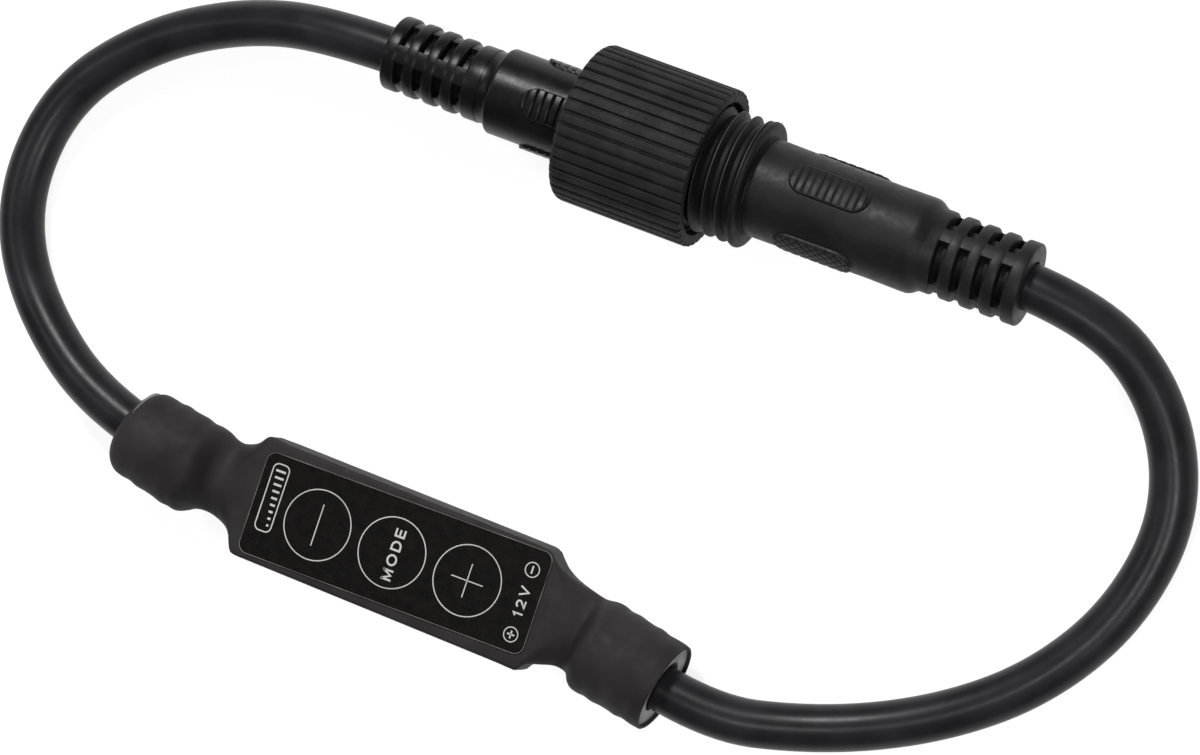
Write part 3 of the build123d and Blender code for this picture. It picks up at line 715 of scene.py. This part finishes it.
# %% [markdown]
# ## Print
# Rings, signs and words are printed in white. Blender's text tool could set the words, but drawing every
# line as a stroke of even width, from a few points or a formula, gives rings, signs and letters the same
# pen and each word its true length. A stroke is a row of edges that is extruded once, and the two sides
# are then moved half a width apart.

# %% A printed stroke
MITRE_LIMIT = 1.7
UP = Vector((0.0, 0.0, 1.0))
print_skin = bmesh.new()


def print_stroke(points, width, closed=False):
    """A printed line of even width through points on the face, with mitred corners."""
    spots = [Vector((*point, 0.0)) for point in points]
    near_side = [print_skin.verts.new(spot) for spot in spots]
    followers = near_side[1:] + near_side[:1] if closed else near_side[1:]
    edges = [print_skin.edges.new(pair) for pair in zip(near_side, followers)]
    far_side = only_verts(bmesh.ops.extrude_edge_only(print_skin, edges=edges)["geom"])
    partners = {}
    for vert in far_side:
        for edge in vert.link_edges:
            partners[edge.other_vert(vert)] = vert
    last = len(spots) - 1
    for number, vert in enumerate(near_side):
        before = spots[number] - spots[number - 1]
        after = spots[(number + 1) % len(spots)] - spots[number]
        if not closed and number == 0:
            before = after
        if not closed and number == last:
            after = before
        first = before.cross(UP).normalized()
        second = after.cross(UP).normalized()
        mitre = (first + second).normalized()
        mitre *= min(1.0 / mitre.dot(first), MITRE_LIMIT) * width / 2.0
        vert.co = spots[number] + mitre
        partners[vert].co = spots[number] - mitre


# %% Arcs, rings and bars
RING_POINTS = 60


def arc(middle_u, middle_v, radius_u, radius_v, start, end, steps):
    """Points on an oval arc between two angles in degrees."""
    points = []
    for step in range(steps + 1):
        angle = math.radians(mix(start, end, step / steps))
        points.append((middle_u + radius_u * math.cos(angle), middle_v + radius_v * math.sin(angle)))
    return points


def print_ring(x, y, radius, width):
    """A printed circle line."""
    last_angle = 360.0 - 360.0 / RING_POINTS
    print_stroke(arc(x, y, radius, radius, 0.0, last_angle, RING_POINTS - 1), width, closed=True)


def print_bar(x, y, length, width, upright=False):
    """A printed bar centred on a point, along X or, upright, along Y."""
    reach = (0.0, length / 2.0) if upright else (length / 2.0, 0.0)
    print_stroke([(x - reach[0], y - reach[1]), (x + reach[0], y + reach[1])], width)


# %% [markdown]
# ## Letters
# The words read along the short side of the film, in plain upright capitals. A font file could give
# them, but two short words need only seven letters and figures, and a few strokes in a box of one by one
# are enough for each. The box is stretched to the letter's width, and even gaps fill the word's length.

# %% Letters
# Each has a width in millimetres and its strokes, and each stroke says whether it is a closed loop
letters = {
    "M": (1.2, [([(0.0, -0.1), (0.0, 1.1)], False), ([(1.0, -0.1), (1.0, 1.1)], False),
                ([(0.0, 1.05), (0.5, 0.08), (1.0, 1.05)], False)]),
    "O": (1.28, [(arc(0.5, 0.5, 0.5, 0.5, 0.0, 350.0, 35), True)]),
    "D": (1.1, [([(0.0, 0.0), (0.0, 1.0)] + arc(0.42, 0.5, 0.58, 0.5, 90.0, -90.0, 18), True)]),
    "E": (0.95, [([(1.1, 1.0), (0.0, 1.0), (0.0, 0.0), (1.1, 0.0)], False),
                 ([(0.1, 0.5), (1.0, 0.5)], False)]),
    "1": (0.56, [([(0.0, 0.78), (0.8, 1.05), (0.8, -0.1)], False)]),
    "2": (0.88, [(arc(0.48, 0.7, 0.5, 0.3, 165.0, -40.0, 16) + [(0.0, 0.0), (1.1, 0.0)], False)]),
    "V": (1.05, [([(-0.05, 1.1), (0.5, 0.0), (1.05, 1.1)], False)]),
}


def print_word(word, x, y, height, length, width):
    """A word that reads towards +Y, centred on a point, with even gaps that fill its length."""
    gap = (length - sum(letters[letter][0] for letter in word)) / (len(word) - 1)
    along = y - length / 2.0
    tall = height - width
    for letter in word:
        letter_width, strokes = letters[letter]
        wide = letter_width - width
        for points, closed in strokes:
            placed = [(x + tall * (0.5 - v), along + width / 2.0 + wide * u) for u, v in points]
            print_stroke(placed, width, closed)
        along += letter_width + gap


print("letters", " ".join(letters))

# %% [markdown]
# ## Rings, signs and words
# Each button is a printed ring with its sign in it: a bar for less, a cross for more, and a word on the
# one between. The supply end carries its voltage and two signs for the poles. They could be drawn on a
# flat picture, but as strokes they stay sharp close up, and a change of pitch moves ring and sign alike.

# %% Rings, signs and words
BUTTON_PITCH = 8.886
RING_RADIUS = 3.793
LINE = 0.115
MINUS_LENGTH = 4.6
PLUS_LENGTH = 3.7
SIGN_X = 15.3
SIGN_RADIUS = 0.78
SIGN_LINE = 0.11
SIGN_BAR = 0.85
SIGN_BAR_LINE = 0.17
for place in (-BUTTON_PITCH, 0.0, BUTTON_PITCH):
    print_ring(place, 0.0, RING_RADIUS, LINE)
print_bar(-BUTTON_PITCH, 0.0, MINUS_LENGTH, LINE, upright=True)
print_bar(BUTTON_PITCH, 0.0, PLUS_LENGTH, LINE, upright=True)
print_bar(BUTTON_PITCH, 0.0, PLUS_LENGTH, LINE)
print_word("MODE", 0.25, -0.13, height=1.2, length=5.66, width=0.215)
print_word("12V", SIGN_X, -0.1, height=1.12, length=3.3, width=0.2)
for sign_y, arms in ((3.45, 1), (-3.7, 2)):
    print_ring(SIGN_X, sign_y, SIGN_RADIUS, SIGN_LINE)
    print_bar(SIGN_X, sign_y, SIGN_BAR, SIGN_BAR_LINE, upright=True)
    if arms == 2:
        print_bar(SIGN_X, sign_y, SIGN_BAR, SIGN_BAR_LINE)
print("rings, signs and words", len(print_skin.faces), "faces")

# %% [markdown]
# ## Dimming scale
# At the lamp end a rounded box holds a plain scale of bars, from short to long. An Array modifier would
# repeat one bar, but a loop can give each its own length.

# %% Dimming scale
SCALE_X = -14.7
SCALE_Y = 1.05
SCALE_HALF = (0.94, 3.7)
SCALE_CORNER = 0.62
CORNER_STEPS = 8
SCALE_LINE = 0.13
SCALE_BARS = 9
SCALE_FOOT = 0.575
BAR_LINE = 0.24
BAR_SHORT = 0.25
BAR_LONG = 1.15
BAR_REACH = 2.95
scale_box = []
for quarter, (toward_x, toward_y) in enumerate(((1, 1), (-1, 1), (-1, -1), (1, -1))):
    corner_x = SCALE_X + toward_x * (SCALE_HALF[0] - SCALE_CORNER)
    corner_y = SCALE_Y + toward_y * (SCALE_HALF[1] - SCALE_CORNER)
    start = 90.0 * quarter
    scale_box += arc(corner_x, corner_y, SCALE_CORNER, SCALE_CORNER, start, start + 90.0, CORNER_STEPS)
print_stroke(scale_box, SCALE_LINE, closed=True)
for number in range(SCALE_BARS):
    share = number / (SCALE_BARS - 1)
    tall = mix(BAR_SHORT, BAR_LONG, share)
    bar_y = SCALE_Y + mix(-BAR_REACH, BAR_REACH, share)
    print_bar(SCALE_X + SCALE_FOOT - tall / 2.0, bar_y, tall, BAR_LINE)
print("dimming scale", SCALE_BARS, "bars")

# %% [markdown]
# ## Ink
# The strokes are still flat and lie at the origin's height. Ink has hardly any thickness, but with none
# at all the print and the film would share one plane and flicker, so the print goes up to the film's
# top, is raised by two hundredths of a millimetre, and is turned with the film.

# %% Ink
INK = 0.02
PRINT_PLACE = (0.1, 0.02, FILM_TOP)
bmesh.ops.translate(print_skin, vec=PRINT_PLACE, verts=print_skin.verts)
bmesh.ops.transform(print_skin, matrix=film_matrix, verts=print_skin.verts)
inked = bmesh.ops.extrude_face_region(print_skin, geom=list(print_skin.faces))["geom"]
bmesh.ops.translate(print_skin, vec=(0.0, 0.0, INK), verts=only_verts(inked))
finish_piece(print_skin, "face_print", [white_ink], "controller", [])

# %% [markdown]
# ## Lines of the leads
# Two round leads leave the collars, lie on the table and rise to the connectors. Straight runs with
# rounded corners would look like bent wire, so each lead follows one smooth NURBS line with the
# drawing's route points as its control points. The line is read back as a row of points.

# %% Routes in metres, as in the part's source
supply_route = [
    (0.02537, -0.001452, 0.0051),
    (0.03649, -0.0043, 0.0051),
    (0.0489, -0.0011, 0.0029),
    (0.06, 0.0045, 0.00255),
    (0.0688, 0.012, 0.00255),
    (0.0746, 0.022, 0.0026),
    (0.076, 0.0337, 0.0034),
    (0.071, 0.0438, 0.0057),
    (0.0616, 0.0497, 0.0086),
    (0.0502, 0.0497, 0.0086),
]
lamp_route = [
    (-0.025455, 0.000857, 0.0051),
    (-0.03719, 0.00209, 0.0051),
    (-0.0505, 0.0102, 0.0029),
    (-0.0566, 0.02, 0.00255),
    (-0.0557, 0.0324, 0.00255),
    (-0.0479, 0.0415, 0.0034),
    (-0.0371, 0.0473, 0.0057),
    (-0.0258, 0.0497, 0.0086),
    (-0.014, 0.0497, 0.0086),
]
print("route points", len(supply_route), "and", len(lamp_route))


# %% Read a line back
def read_line(name, points):
    """Points along the NURBS line of a route, in millimetres."""
    curve = bpy.data.curves.new(name, "CURVE")
    curve.dimensions = "3D"
    curve.resolution_u = 12
    spline = curve.splines.new("NURBS")
    spline.points.add(len(points) - 1)
    for control, point in zip(spline.points, points):
        control.co = (*point, 1.0)
    spline.order_u = 3
    spline.use_endpoint_u = True
    holder = bpy.data.objects.new(name, curve)
    traced = bpy.data.meshes.new_from_object(holder)
    line = [vertex.co / MM for vertex in traced.vertices]
    bpy.data.objects.remove(holder)
    bpy.data.meshes.remove(traced)
    return line


# %% [markdown]
# ## Leads
# A lead is a round tube of soft plastic, and the lamp lead bends as its plug is drawn out. A curve with a
# round bevel would look the same, but here each lead is a mesh, with rings grown along the line on two
# directions that are carried along it without twist.

# %% Leads
CABLE_RADIUS = 2.5
CABLE_COLUMNS = 48


def carry_frames(line):
    """Two directions across the line at each point, carried along without twist."""
    across = Vector((0.0, 0.0, 1.0))
    frames = []
    for number in range(len(line)):
        ahead = line[min(number + 1, len(line) - 1)] - line[max(number - 1, 0)]
        ahead.normalize()
        across = (across - ahead * across.dot(ahead)).normalized()
        frames.append((across.copy(), ahead.cross(across)))
    return frames


def make_lead(name, points, body, node):
    """A round lead along its line, closed at both hidden ends, with its line and length in metres."""
    line = read_line(name, points)
    frames = carry_frames(line)

    def lead_point(step, column):
        angle = 2.0 * math.pi * column / CABLE_COLUMNS
        first, second = frames[step]
        return line[step] + CABLE_RADIUS * (first * math.cos(angle) + second * math.sin(angle))

    lead_skin = bmesh.new()
    start_edges, end_edges = grow_rings(lead_skin, CABLE_COLUMNS, len(line), lead_point)
    for edges in (start_edges, end_edges):
        bmesh.ops.holes_fill(lead_skin, edges=edges, sides=0)
    length = sum((after - before).length for before, after in zip(line, line[1:]))
    print(name, "length", round(length, 2))
    lead = finish_piece(lead_skin, name, [cable_black], body, [node], sharp_angle=60.0)
    return lead, [point * MM for point in line], length * MM


supply_lead, supply_line, supply_length = make_lead(
    "supply_lead", supply_route, "controller", "supply_cable"
)
lamp_lead, lamp_line, lamp_length = make_lead("lamp_lead", lamp_route, None, "lamp_cable")
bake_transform(lamp_lead)

# %% [markdown]
# ## Strain reliefs
# Both mouldings end in a slotted sleeve: ribs on a core, tied by four webs, so it can bend with the lead.
# The slots could be cut with booleans, but those leave ragged faces on round ribs. Here the moulding is
# one skin of rings. Columns stand close together at the edges of the webs, and in the rings of a slot
# the columns between two webs drop to the core, which gives the slots upright walls.

# %% Stations along a strain relief
RIB_ROUND = 0.25
RIB_STEPS = 3
SLOT_COUNT = 4
SLOT_WIDTH = 1.0
SLOT_WALL = 0.01
END_RIB = 1.55
RIB = 1.3
RELIEF_CORE = 3.1


def rib_rim(radius, web_top):
    """The rounded rim of a rib: distances from its face, radii, and the top of the webs there."""
    rim = []
    for step in range(RIB_STEPS + 1):
        swing = math.radians(90.0 * step / RIB_STEPS)
        drop = RIB_ROUND * (1.0 - math.sin(swing))
        rim.append((RIB_ROUND * (1.0 - math.cos(swing)), radius - drop, web_top))
    return rim


def relief_profile(end, inward, length, radius):
    """Stations of a strain relief from its end face inwards: place, radius and top of the webs."""
    runs = []
    at = 0.0
    for number in range(SLOT_COUNT + 1):
        thickness = END_RIB if number == 0 else RIB
        web_top = radius if number else 0.0
        runs += [(at + inset, rim_radius, top) for inset, rim_radius, top in rib_rim(radius, web_top)]
        at += thickness
        if number < SLOT_COUNT:
            far_rim = reversed(rib_rim(radius, radius))
            runs += [(at - inset, rim_radius, top) for inset, rim_radius, top in far_rim]
            runs.append((at + SLOT_WALL, RELIEF_CORE, radius))
            runs.append((at + SLOT_WIDTH - SLOT_WALL, RELIEF_CORE, radius))
            at += SLOT_WIDTH
    runs.append((length, radius, 0.0))
    return [(end + inward * run, rim_radius, top) for run, rim_radius, top in runs]


# %% Columns round a strain relief
SLOT_COLUMNS = 16
WALL_DEGREES = 0.8
LEAST_WEB_STEPS = 4
DEGREES_PER_STEP = 3.0


def relief_columns(webs):
    """Angles round a strain relief in degrees, each with its web's recess, or none in a slot."""
    columns = []
    for number, (centre, half, recess) in enumerate(webs):
        steps = LEAST_WEB_STEPS + int(half / DEGREES_PER_STEP)
        for step in range(steps + 1):
            columns.append((centre + half * (2.0 * step / steps - 1.0), recess))
        next_centre, next_half = webs[(number + 1) % len(webs)][:2]
        slot_start = centre + half + WALL_DEGREES
        slot_end = slot_start + (next_centre - next_half - WALL_DEGREES - slot_start) % 360.0
        for step in range(SLOT_COLUMNS + 1):
            columns.append((mix(slot_start, slot_end, step / SLOT_COLUMNS), None))
    return columns


# %% A moulding round the connectors' axis
AXIS_Y = 49.7
AXIS_Z = 8.6
LEAD_BORE = 2.53
LEAD_BORE_MOUTH = 2.56


def axis_point(x, radius, angle):
    """A point round the connectors' axis, with the angle measured from +Z towards +Y."""
    return Vector((x, AXIS_Y + radius * math.sin(angle), AXIS_Z + radius * math.cos(angle)))


def make_moulding(name, finish, stations, webs, body, node, cable_end, front_bore):
    """One skin from the lead's bore, over the strain relief and body, to the front."""
    columns = relief_columns(webs)
    profile = [(cable_end, LEAD_BORE, 0.0), (stations[0][0], LEAD_BORE_MOUTH, 0.0)] + stations
    profile.append((stations[-1][0], front_bore, 0.0))

    def moulding_point(step, column):
        x, radius, web_top = profile[step]
        degrees, recess = columns[column]
        if recess is not None:
            radius = max(radius, web_top - recess)
        return axis_point(x, radius, math.radians(degrees))

    skin = bmesh.new()
    first, last = grow_rings(skin, len(columns), len(profile), moulding_point)
    for edges in (first, last):
        bmesh.ops.holes_fill(skin, edges=edges, sides=0)
    return finish_piece(skin, name, [finish], body, [node], sharp_angle=40.0)


# %% [markdown]
# ## Mouldings of the plug and the socket
# The plug's moulding holds the lamp lead: behind its strain relief come a slim neck, a step and a smooth
# barrel that runs into the nut. The socket's moulding holds the supply lead and swells a little towards
# the thread. Each could be a spun outline with the relief stuck on, but one skin has no joint line, as
# the real moulding has none. Each web has its middle angle, half its width and its recess.

# %% Plug moulding on the lamp lead
plug_webs = [(-1.0, 13.5, 0.05), (89.0, 32.0, 0.33), (179.0, 13.5, 0.05), (269.0, 32.0, 0.33)]
plug_stations = relief_profile(end=-18.3, inward=1.0, length=11.2, radius=4.05)
plug_stations += [(-7.05, 3.97, 0.0), (-6.1, 3.95, 0.0), (-5.95, 4.05, 0.0), (-5.72, 4.6, 0.0)]
plug_stations += [(-5.55, 4.7, 0.0), (-5.3, 4.7, 0.0), (5.6, 4.7, 0.0)]
plug_moulding = make_moulding(
    "plug_moulding",
    plug_black,
    plug_stations,
    plug_webs,
    "plug",
    "plug_overmould",
    cable_end=-14.0,
    front_bore=3.6,
)

# %% Socket moulding on the supply lead
socket_webs = [(25.0, 9.3, 0.05), (116.0, 10.3, 0.25), (205.0, 9.3, 0.05), (296.0, 10.3, 0.25)]
socket_stations = relief_profile(end=54.6, inward=-1.0, length=10.6, radius=4.45)
socket_stations += [(43.7, 4.6, 0.0), (43.2, 4.95, 0.0), (42.8, 5.1, 0.0), (42.3, 5.13, 0.0)]
socket_stations += [(38.5, 5.08, 0.0), (32.0, 5.15, 0.0), (26.0, 5.25, 0.0), (24.65, 5.25, 0.0)]
socket_moulding = make_moulding(
    "socket_moulding",
    socket_black,
    socket_stations,
    socket_webs,
    "controller",
    "socket_overmould",
    cable_end=50.2,
    front_bore=4.3,
)

# %% [markdown]
# ## Grip pads
# Four long oval pads stand a little proud of each body, for the fingers: cross grooves on the plug, and on
# the socket two cross-grooved pads and two with a fine diamond cut. A bump in the finish could fake the
# grooves, but the light catches real ones better. Each pad is a fine grid, sunk outside its oval and
# lifted inside it, with the grooves pressed in by a formula, then wrapped round the body.

# %% A pad
PAD_HALF_WIDTH = 1.95
PAD_SINK = 0.12
PAD_THICKNESS = 0.4
PAD_CELL = 0.085
PAD_EDGE = 0.3
PLAIN_RIM = 0.12
GROOVE_FADE = 0.2


def groove(place, pitch, width):
    """How deep a repeated groove is at a place, from 0 on a rib to 1 in the groove."""
    aside = abs((place / pitch + 0.5) % 1.0 - 0.5) * pitch
    return 1.0 - ease(aside / width)


def make_pad(name, finish, body, form, angle, pitch, crossed):
    """A pad on one body, at an angle round it, with the pitch of its grooves."""
    start, length, base, height = form["start"], form["length"], form["base"], form["height"]
    width, depth = form["groove_width"], form["groove_depth"]
    stretch = length / 2.0 - PAD_HALF_WIDTH
    skin = bmesh.new()
    long_cells = int(length / PAD_CELL)
    wide_cells = int(2.0 * PAD_HALF_WIDTH / PAD_CELL)
    bmesh.ops.create_grid(skin, x_segments=long_cells, y_segments=wide_cells, size=0.5)
    bmesh.ops.scale(skin, vec=(length, 2.0 * PAD_HALF_WIDTH, 1.0), verts=skin.verts)
    for vert in skin.verts:
        along = vert.co.x
        across = vert.co.y
        inside = PAD_HALF_WIDTH - math.hypot(max(abs(along) - stretch, 0.0), across)
        cut = groove(along, pitch, width)
        if crossed:
            cut = max(groove(along + across, pitch, width), groove(along - across, pitch, width))
        cut *= ease((inside - PLAIN_RIM) / GROOVE_FADE)
        vert.co.z = -PAD_SINK + (PAD_SINK + height) * ease(inside / PAD_EDGE) - depth * cut
    bmesh.ops.solidify(skin, geom=list(skin.faces), thickness=PAD_THICKNESS)
    for vert in skin.verts:
        vert.co = axis_point(
            start + length / 2.0 + vert.co.x, base + vert.co.z, angle + vert.co.y / (base + height)
        )
    return finish_piece(skin, name, [finish], body, [], sharp_angle=50.0)


# %% Pads of both halves
PLUG_CLOCKING = math.radians(-1.0)
SOCKET_CLOCKING = math.radians(26.0)
PLUG_PITCH = 0.93
SOCKET_PITCH = 0.83
DIAMOND_PITCH = 1.05
plug_pad = {
    "start": -2.0, "length": 7.2, "base": 4.7, "height": 0.32, "groove_width": 0.16, "groove_depth": 0.2
}
socket_pad = {
    "start": 28.0, "length": 9.2, "base": 5.14, "height": 0.3, "groove_width": 0.15, "groove_depth": 0.09
}
for quarter in range(4):
    turned = quarter * math.pi / 2.0
    number = str(quarter + 1)
    crossed = quarter % 2 == 1
    socket_pitch = DIAMOND_PITCH if crossed else SOCKET_PITCH
    make_pad("plug_pad_" + number, plug_black, "plug", plug_pad, PLUG_CLOCKING + turned, PLUG_PITCH, False)
    make_pad(
        "socket_pad_" + number,
        socket_black,
        "controller",
        socket_pad,
        SOCKET_CLOCKING + turned,
        socket_pitch,
        crossed,
    )

# %% [markdown]
# ## Coupling nut
# The nut is knurled with narrow grooves between broad, slightly crowned ribs. The grooves run over its
# rounded rear edge and out through the front face. An array of cutters would leave thin faces at both
# ends, so a ring with six columns for each rib is grown along the outline, and the columns of the
# grooves are sunk by their depth.

# %% Outline of the nut: place, radius and how much of the groove's depth there is
NUT_REAR = 3.85
NUT_FRONT = 19.1
NUT_RADIUS = 8.56
NUT_BORE = 6.95
NUT_REAR_BORE = 5.27
NUT_REAR_ROUND = 0.9
NUT_ROUND_STEPS = 8
GROOVE_RUN_IN = 4.0
nut_outline = [(3.87, NUT_REAR_BORE, 0.0), (NUT_REAR, 5.35, 0.0), (NUT_REAR, 7.2, 0.0)]
for step in range(NUT_ROUND_STEPS + 1):
    swing = math.radians(90.0 * step / NUT_ROUND_STEPS)
    x = NUT_REAR + NUT_REAR_ROUND * (1.0 - math.cos(swing))
    radius = NUT_RADIUS - NUT_REAR_ROUND * (1.0 - math.sin(swing))
    nut_outline.append((x, radius, ease((step + 1.0) / GROOVE_RUN_IN)))
nut_outline += [(9.0, NUT_RADIUS, 1.0), (14.0, NUT_RADIUS, 1.0), (18.8, NUT_RADIUS, 1.0)]
nut_outline += [(19.02, 8.5, 1.0), (NUT_FRONT, 8.32, 0.6), (NUT_FRONT, 8.05, 0.0), (NUT_FRONT, 7.4, 0.0)]
nut_outline += [(19.02, 7.3, 0.0), (18.1, 7.28, 0.0), (18.08, NUT_BORE, 0.0)]
nut_outline += [(5.6, NUT_BORE, 0.0), (5.58, NUT_REAR_BORE, 0.0)]
print("nut", round(NUT_FRONT - NUT_REAR, 2), "mm long")

# %% Nut
# The columns of one rib are in degrees from its groove, and a negative sink is the crown of the rib
GROOVE_COUNT = 41
GROOVE_DEPTH = 0.42
GROOVE_START = math.radians(2.8)
groove_columns = [-1.5, -0.8, 0.8, 1.5, 2.9, 5.9]
groove_sink = [0.0, 1.0, 1.0, 0.0, -0.08, -0.08]


def nut_point(step, column):
    """A point of the nut, sunk where its column lies in a groove."""
    x, radius, depth = nut_outline[step]
    groove_number, part = divmod(column, len(groove_columns))
    turned = GROOVE_START + 2.0 * math.pi * groove_number / GROOVE_COUNT
    angle = turned + math.radians(groove_columns[part])
    return axis_point(x, radius - depth * GROOVE_DEPTH * groove_sink[part], angle)


nut_skin = bmesh.new()
nut_column_count = GROOVE_COUNT * len(groove_columns)
nut_first, nut_last = grow_rings(nut_skin, nut_column_count, len(nut_outline), nut_point)
bmesh.ops.bridge_loops(nut_skin, edges=nut_first + nut_last)
nut = finish_piece(nut_skin, "nut", [nut_black], "nut", ["coupling_nut"], sharp_angle=40.0)

# %% [markdown]
# ## Socket shell
# The shell is a turned tube between the nut and the socket's moulding, with a thin flange at its end and
# a foot inside the moulding. It could be built from cylinders and booleans, but a turned piece is best
# made as on a lathe: half its outline is drawn once and spun round the axis.

# %% Shell
# Each corner of the outline has its place along the axis and its radius
shell_outline = [
    (11.8, 0.0),
    (11.8, 3.4),
    (18.9, 3.4),
    (18.9, 5.0),
    (10.2, 5.0),
    (10.2, 5.95),
    (10.5, 6.05),
    (23.5, 6.05),
    (23.52, 6.5),
    (23.64, 6.76),
    (23.85, 6.86),
    (24.1, 6.84),
    (24.28, 6.7),
    (24.36, 6.4),
    (24.4, 5.5),
    (24.65, 5.4),
    (24.65, 4.3),
    (28.75, 4.3),
    (28.75, 0.0),
]
SHELL_STEPS = 128
AXIS_PLACE = (0.0, AXIS_Y, AXIS_Z)
AXIS_DIRECTION = (1.0, 0.0, 0.0)
shell_skin = bmesh.new()
outline_verts = [shell_skin.verts.new(axis_point(x, radius, 0.0)) for x, radius in shell_outline]
outline_edges = [shell_skin.edges.new(pair) for pair in zip(outline_verts, outline_verts[1:])]
bmesh.ops.spin(
    shell_skin,
    geom=outline_verts + outline_edges,
    cent=AXIS_PLACE,
    axis=AXIS_DIRECTION,
    dvec=(0.0, 0.0, 0.0),
    angle=2.0 * math.pi,
    steps=SHELL_STEPS,
    use_merge=True,
)
print("shell", len(shell_skin.faces), "faces before its thread")

# %% [markdown]
# ## Thread
# Between the nut and the flange a few turns of the thread show, with narrow crests that catch the light. A
# Screw modifier could make it, but the spin operator also moves along its axis as it turns, so a second
# spin of one small tooth makes a true helix on the same skin. The faces on the crest get a grey finish, a
# painted highlight for the light line along the crest.

# %% Thread
THREAD_PITCH = 1.5
THREAD_TURNS = 8.25
THREAD_STEPS = 96
THREAD_ROOT = 5.95
FLANK_TOP = 6.68
CREST = 6.74
CREST_TOLERANCE = 0.01
tooth = [(10.98, THREAD_ROOT), (11.5, FLANK_TOP), (11.55, CREST)]
tooth += [(11.65, CREST), (11.7, FLANK_TOP), (12.22, THREAD_ROOT)]
tooth_verts = [shell_skin.verts.new(axis_point(x, radius, 0.0)) for x, radius in tooth]
tooth_face = shell_skin.faces.new(tooth_verts)
bmesh.ops.spin(
    shell_skin,
    geom=[tooth_face],
    cent=AXIS_PLACE,
    axis=AXIS_DIRECTION,
    dvec=(THREAD_PITCH / THREAD_STEPS, 0.0, 0.0),
    angle=2.0 * math.pi * THREAD_TURNS,
    steps=int(THREAD_STEPS * THREAD_TURNS),
)
# The flat faces on the crest get the grey finish, a painted highlight along the crest.
for face in shell_skin.faces:
    reach = [math.hypot(vert.co.y - AXIS_Y, vert.co.z - AXIS_Z) for vert in face.verts]
    level = max(reach) - min(reach) < CREST_TOLERANCE
    if level and abs(min(reach) - CREST) < CREST_TOLERANCE:
        face.material_index = 1
socket_shell = finish_piece(
    shell_skin,
    "socket_thread",
    [insert_black, crest_painted_highlight],
    "controller",
    ["socket_shell"],
    sharp_angle=40.0,
)

# %% [markdown]
# ## Pieces that keep their CAD shape
# The linings, the seal and what lies inside the sleeve and the mouldings are plain turned, bent or boxed
# shapes. They could be built again here, but the drawing's own shapes are right as they are, so they
# only get their finishes, and a cut-away view still reads.

# %% Finishes on the CAD nodes that stay
node_finishes = {
    "supply_lining": lining_grey,
    "lamp_lining": lining_grey,
    "seal_ring": core_black,
    "plug_core": insert_black,
    "circuit_board": board_green,
    "filter_capacitor": capacitor_tan,
}
for name in ("control_chip", "dimming_transistor", "bypass_diode", "chip_resistors"):
    node_finishes[name] = part_black
for name in ("minus", "mode", "plus"):
    node_finishes[name + "_switch_body"] = part_black
    node_finishes[name + "_plunger"] = plunger_grey
for name in ("supply", "lamp", "plug", "socket"):
    node_finishes[name + "_core_positive"] = core_red
    node_finishes[name + "_core_negative"] = core_black
for name in ("positive", "negative"):
    node_finishes["plug_pin_" + name] = contact_brass
    node_finishes["socket_contact_" + name] = contact_brass
for name, finish in node_finishes.items():
    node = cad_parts[name]
    node.data.materials.clear()
    node.data.materials.append(finish)
print("CAD nodes kept", len(node_finishes))

# %% [markdown]
# Both leads are free cords of a fixed length, which would hang under their own weight. Here they stay plain
# pieces, and each is measured along its line from its hidden end in the collar to its hidden end in the
# moulding.

# %% Cords
print("cords", round(supply_length, 4), "and", round(lamp_length, 4), "m long")
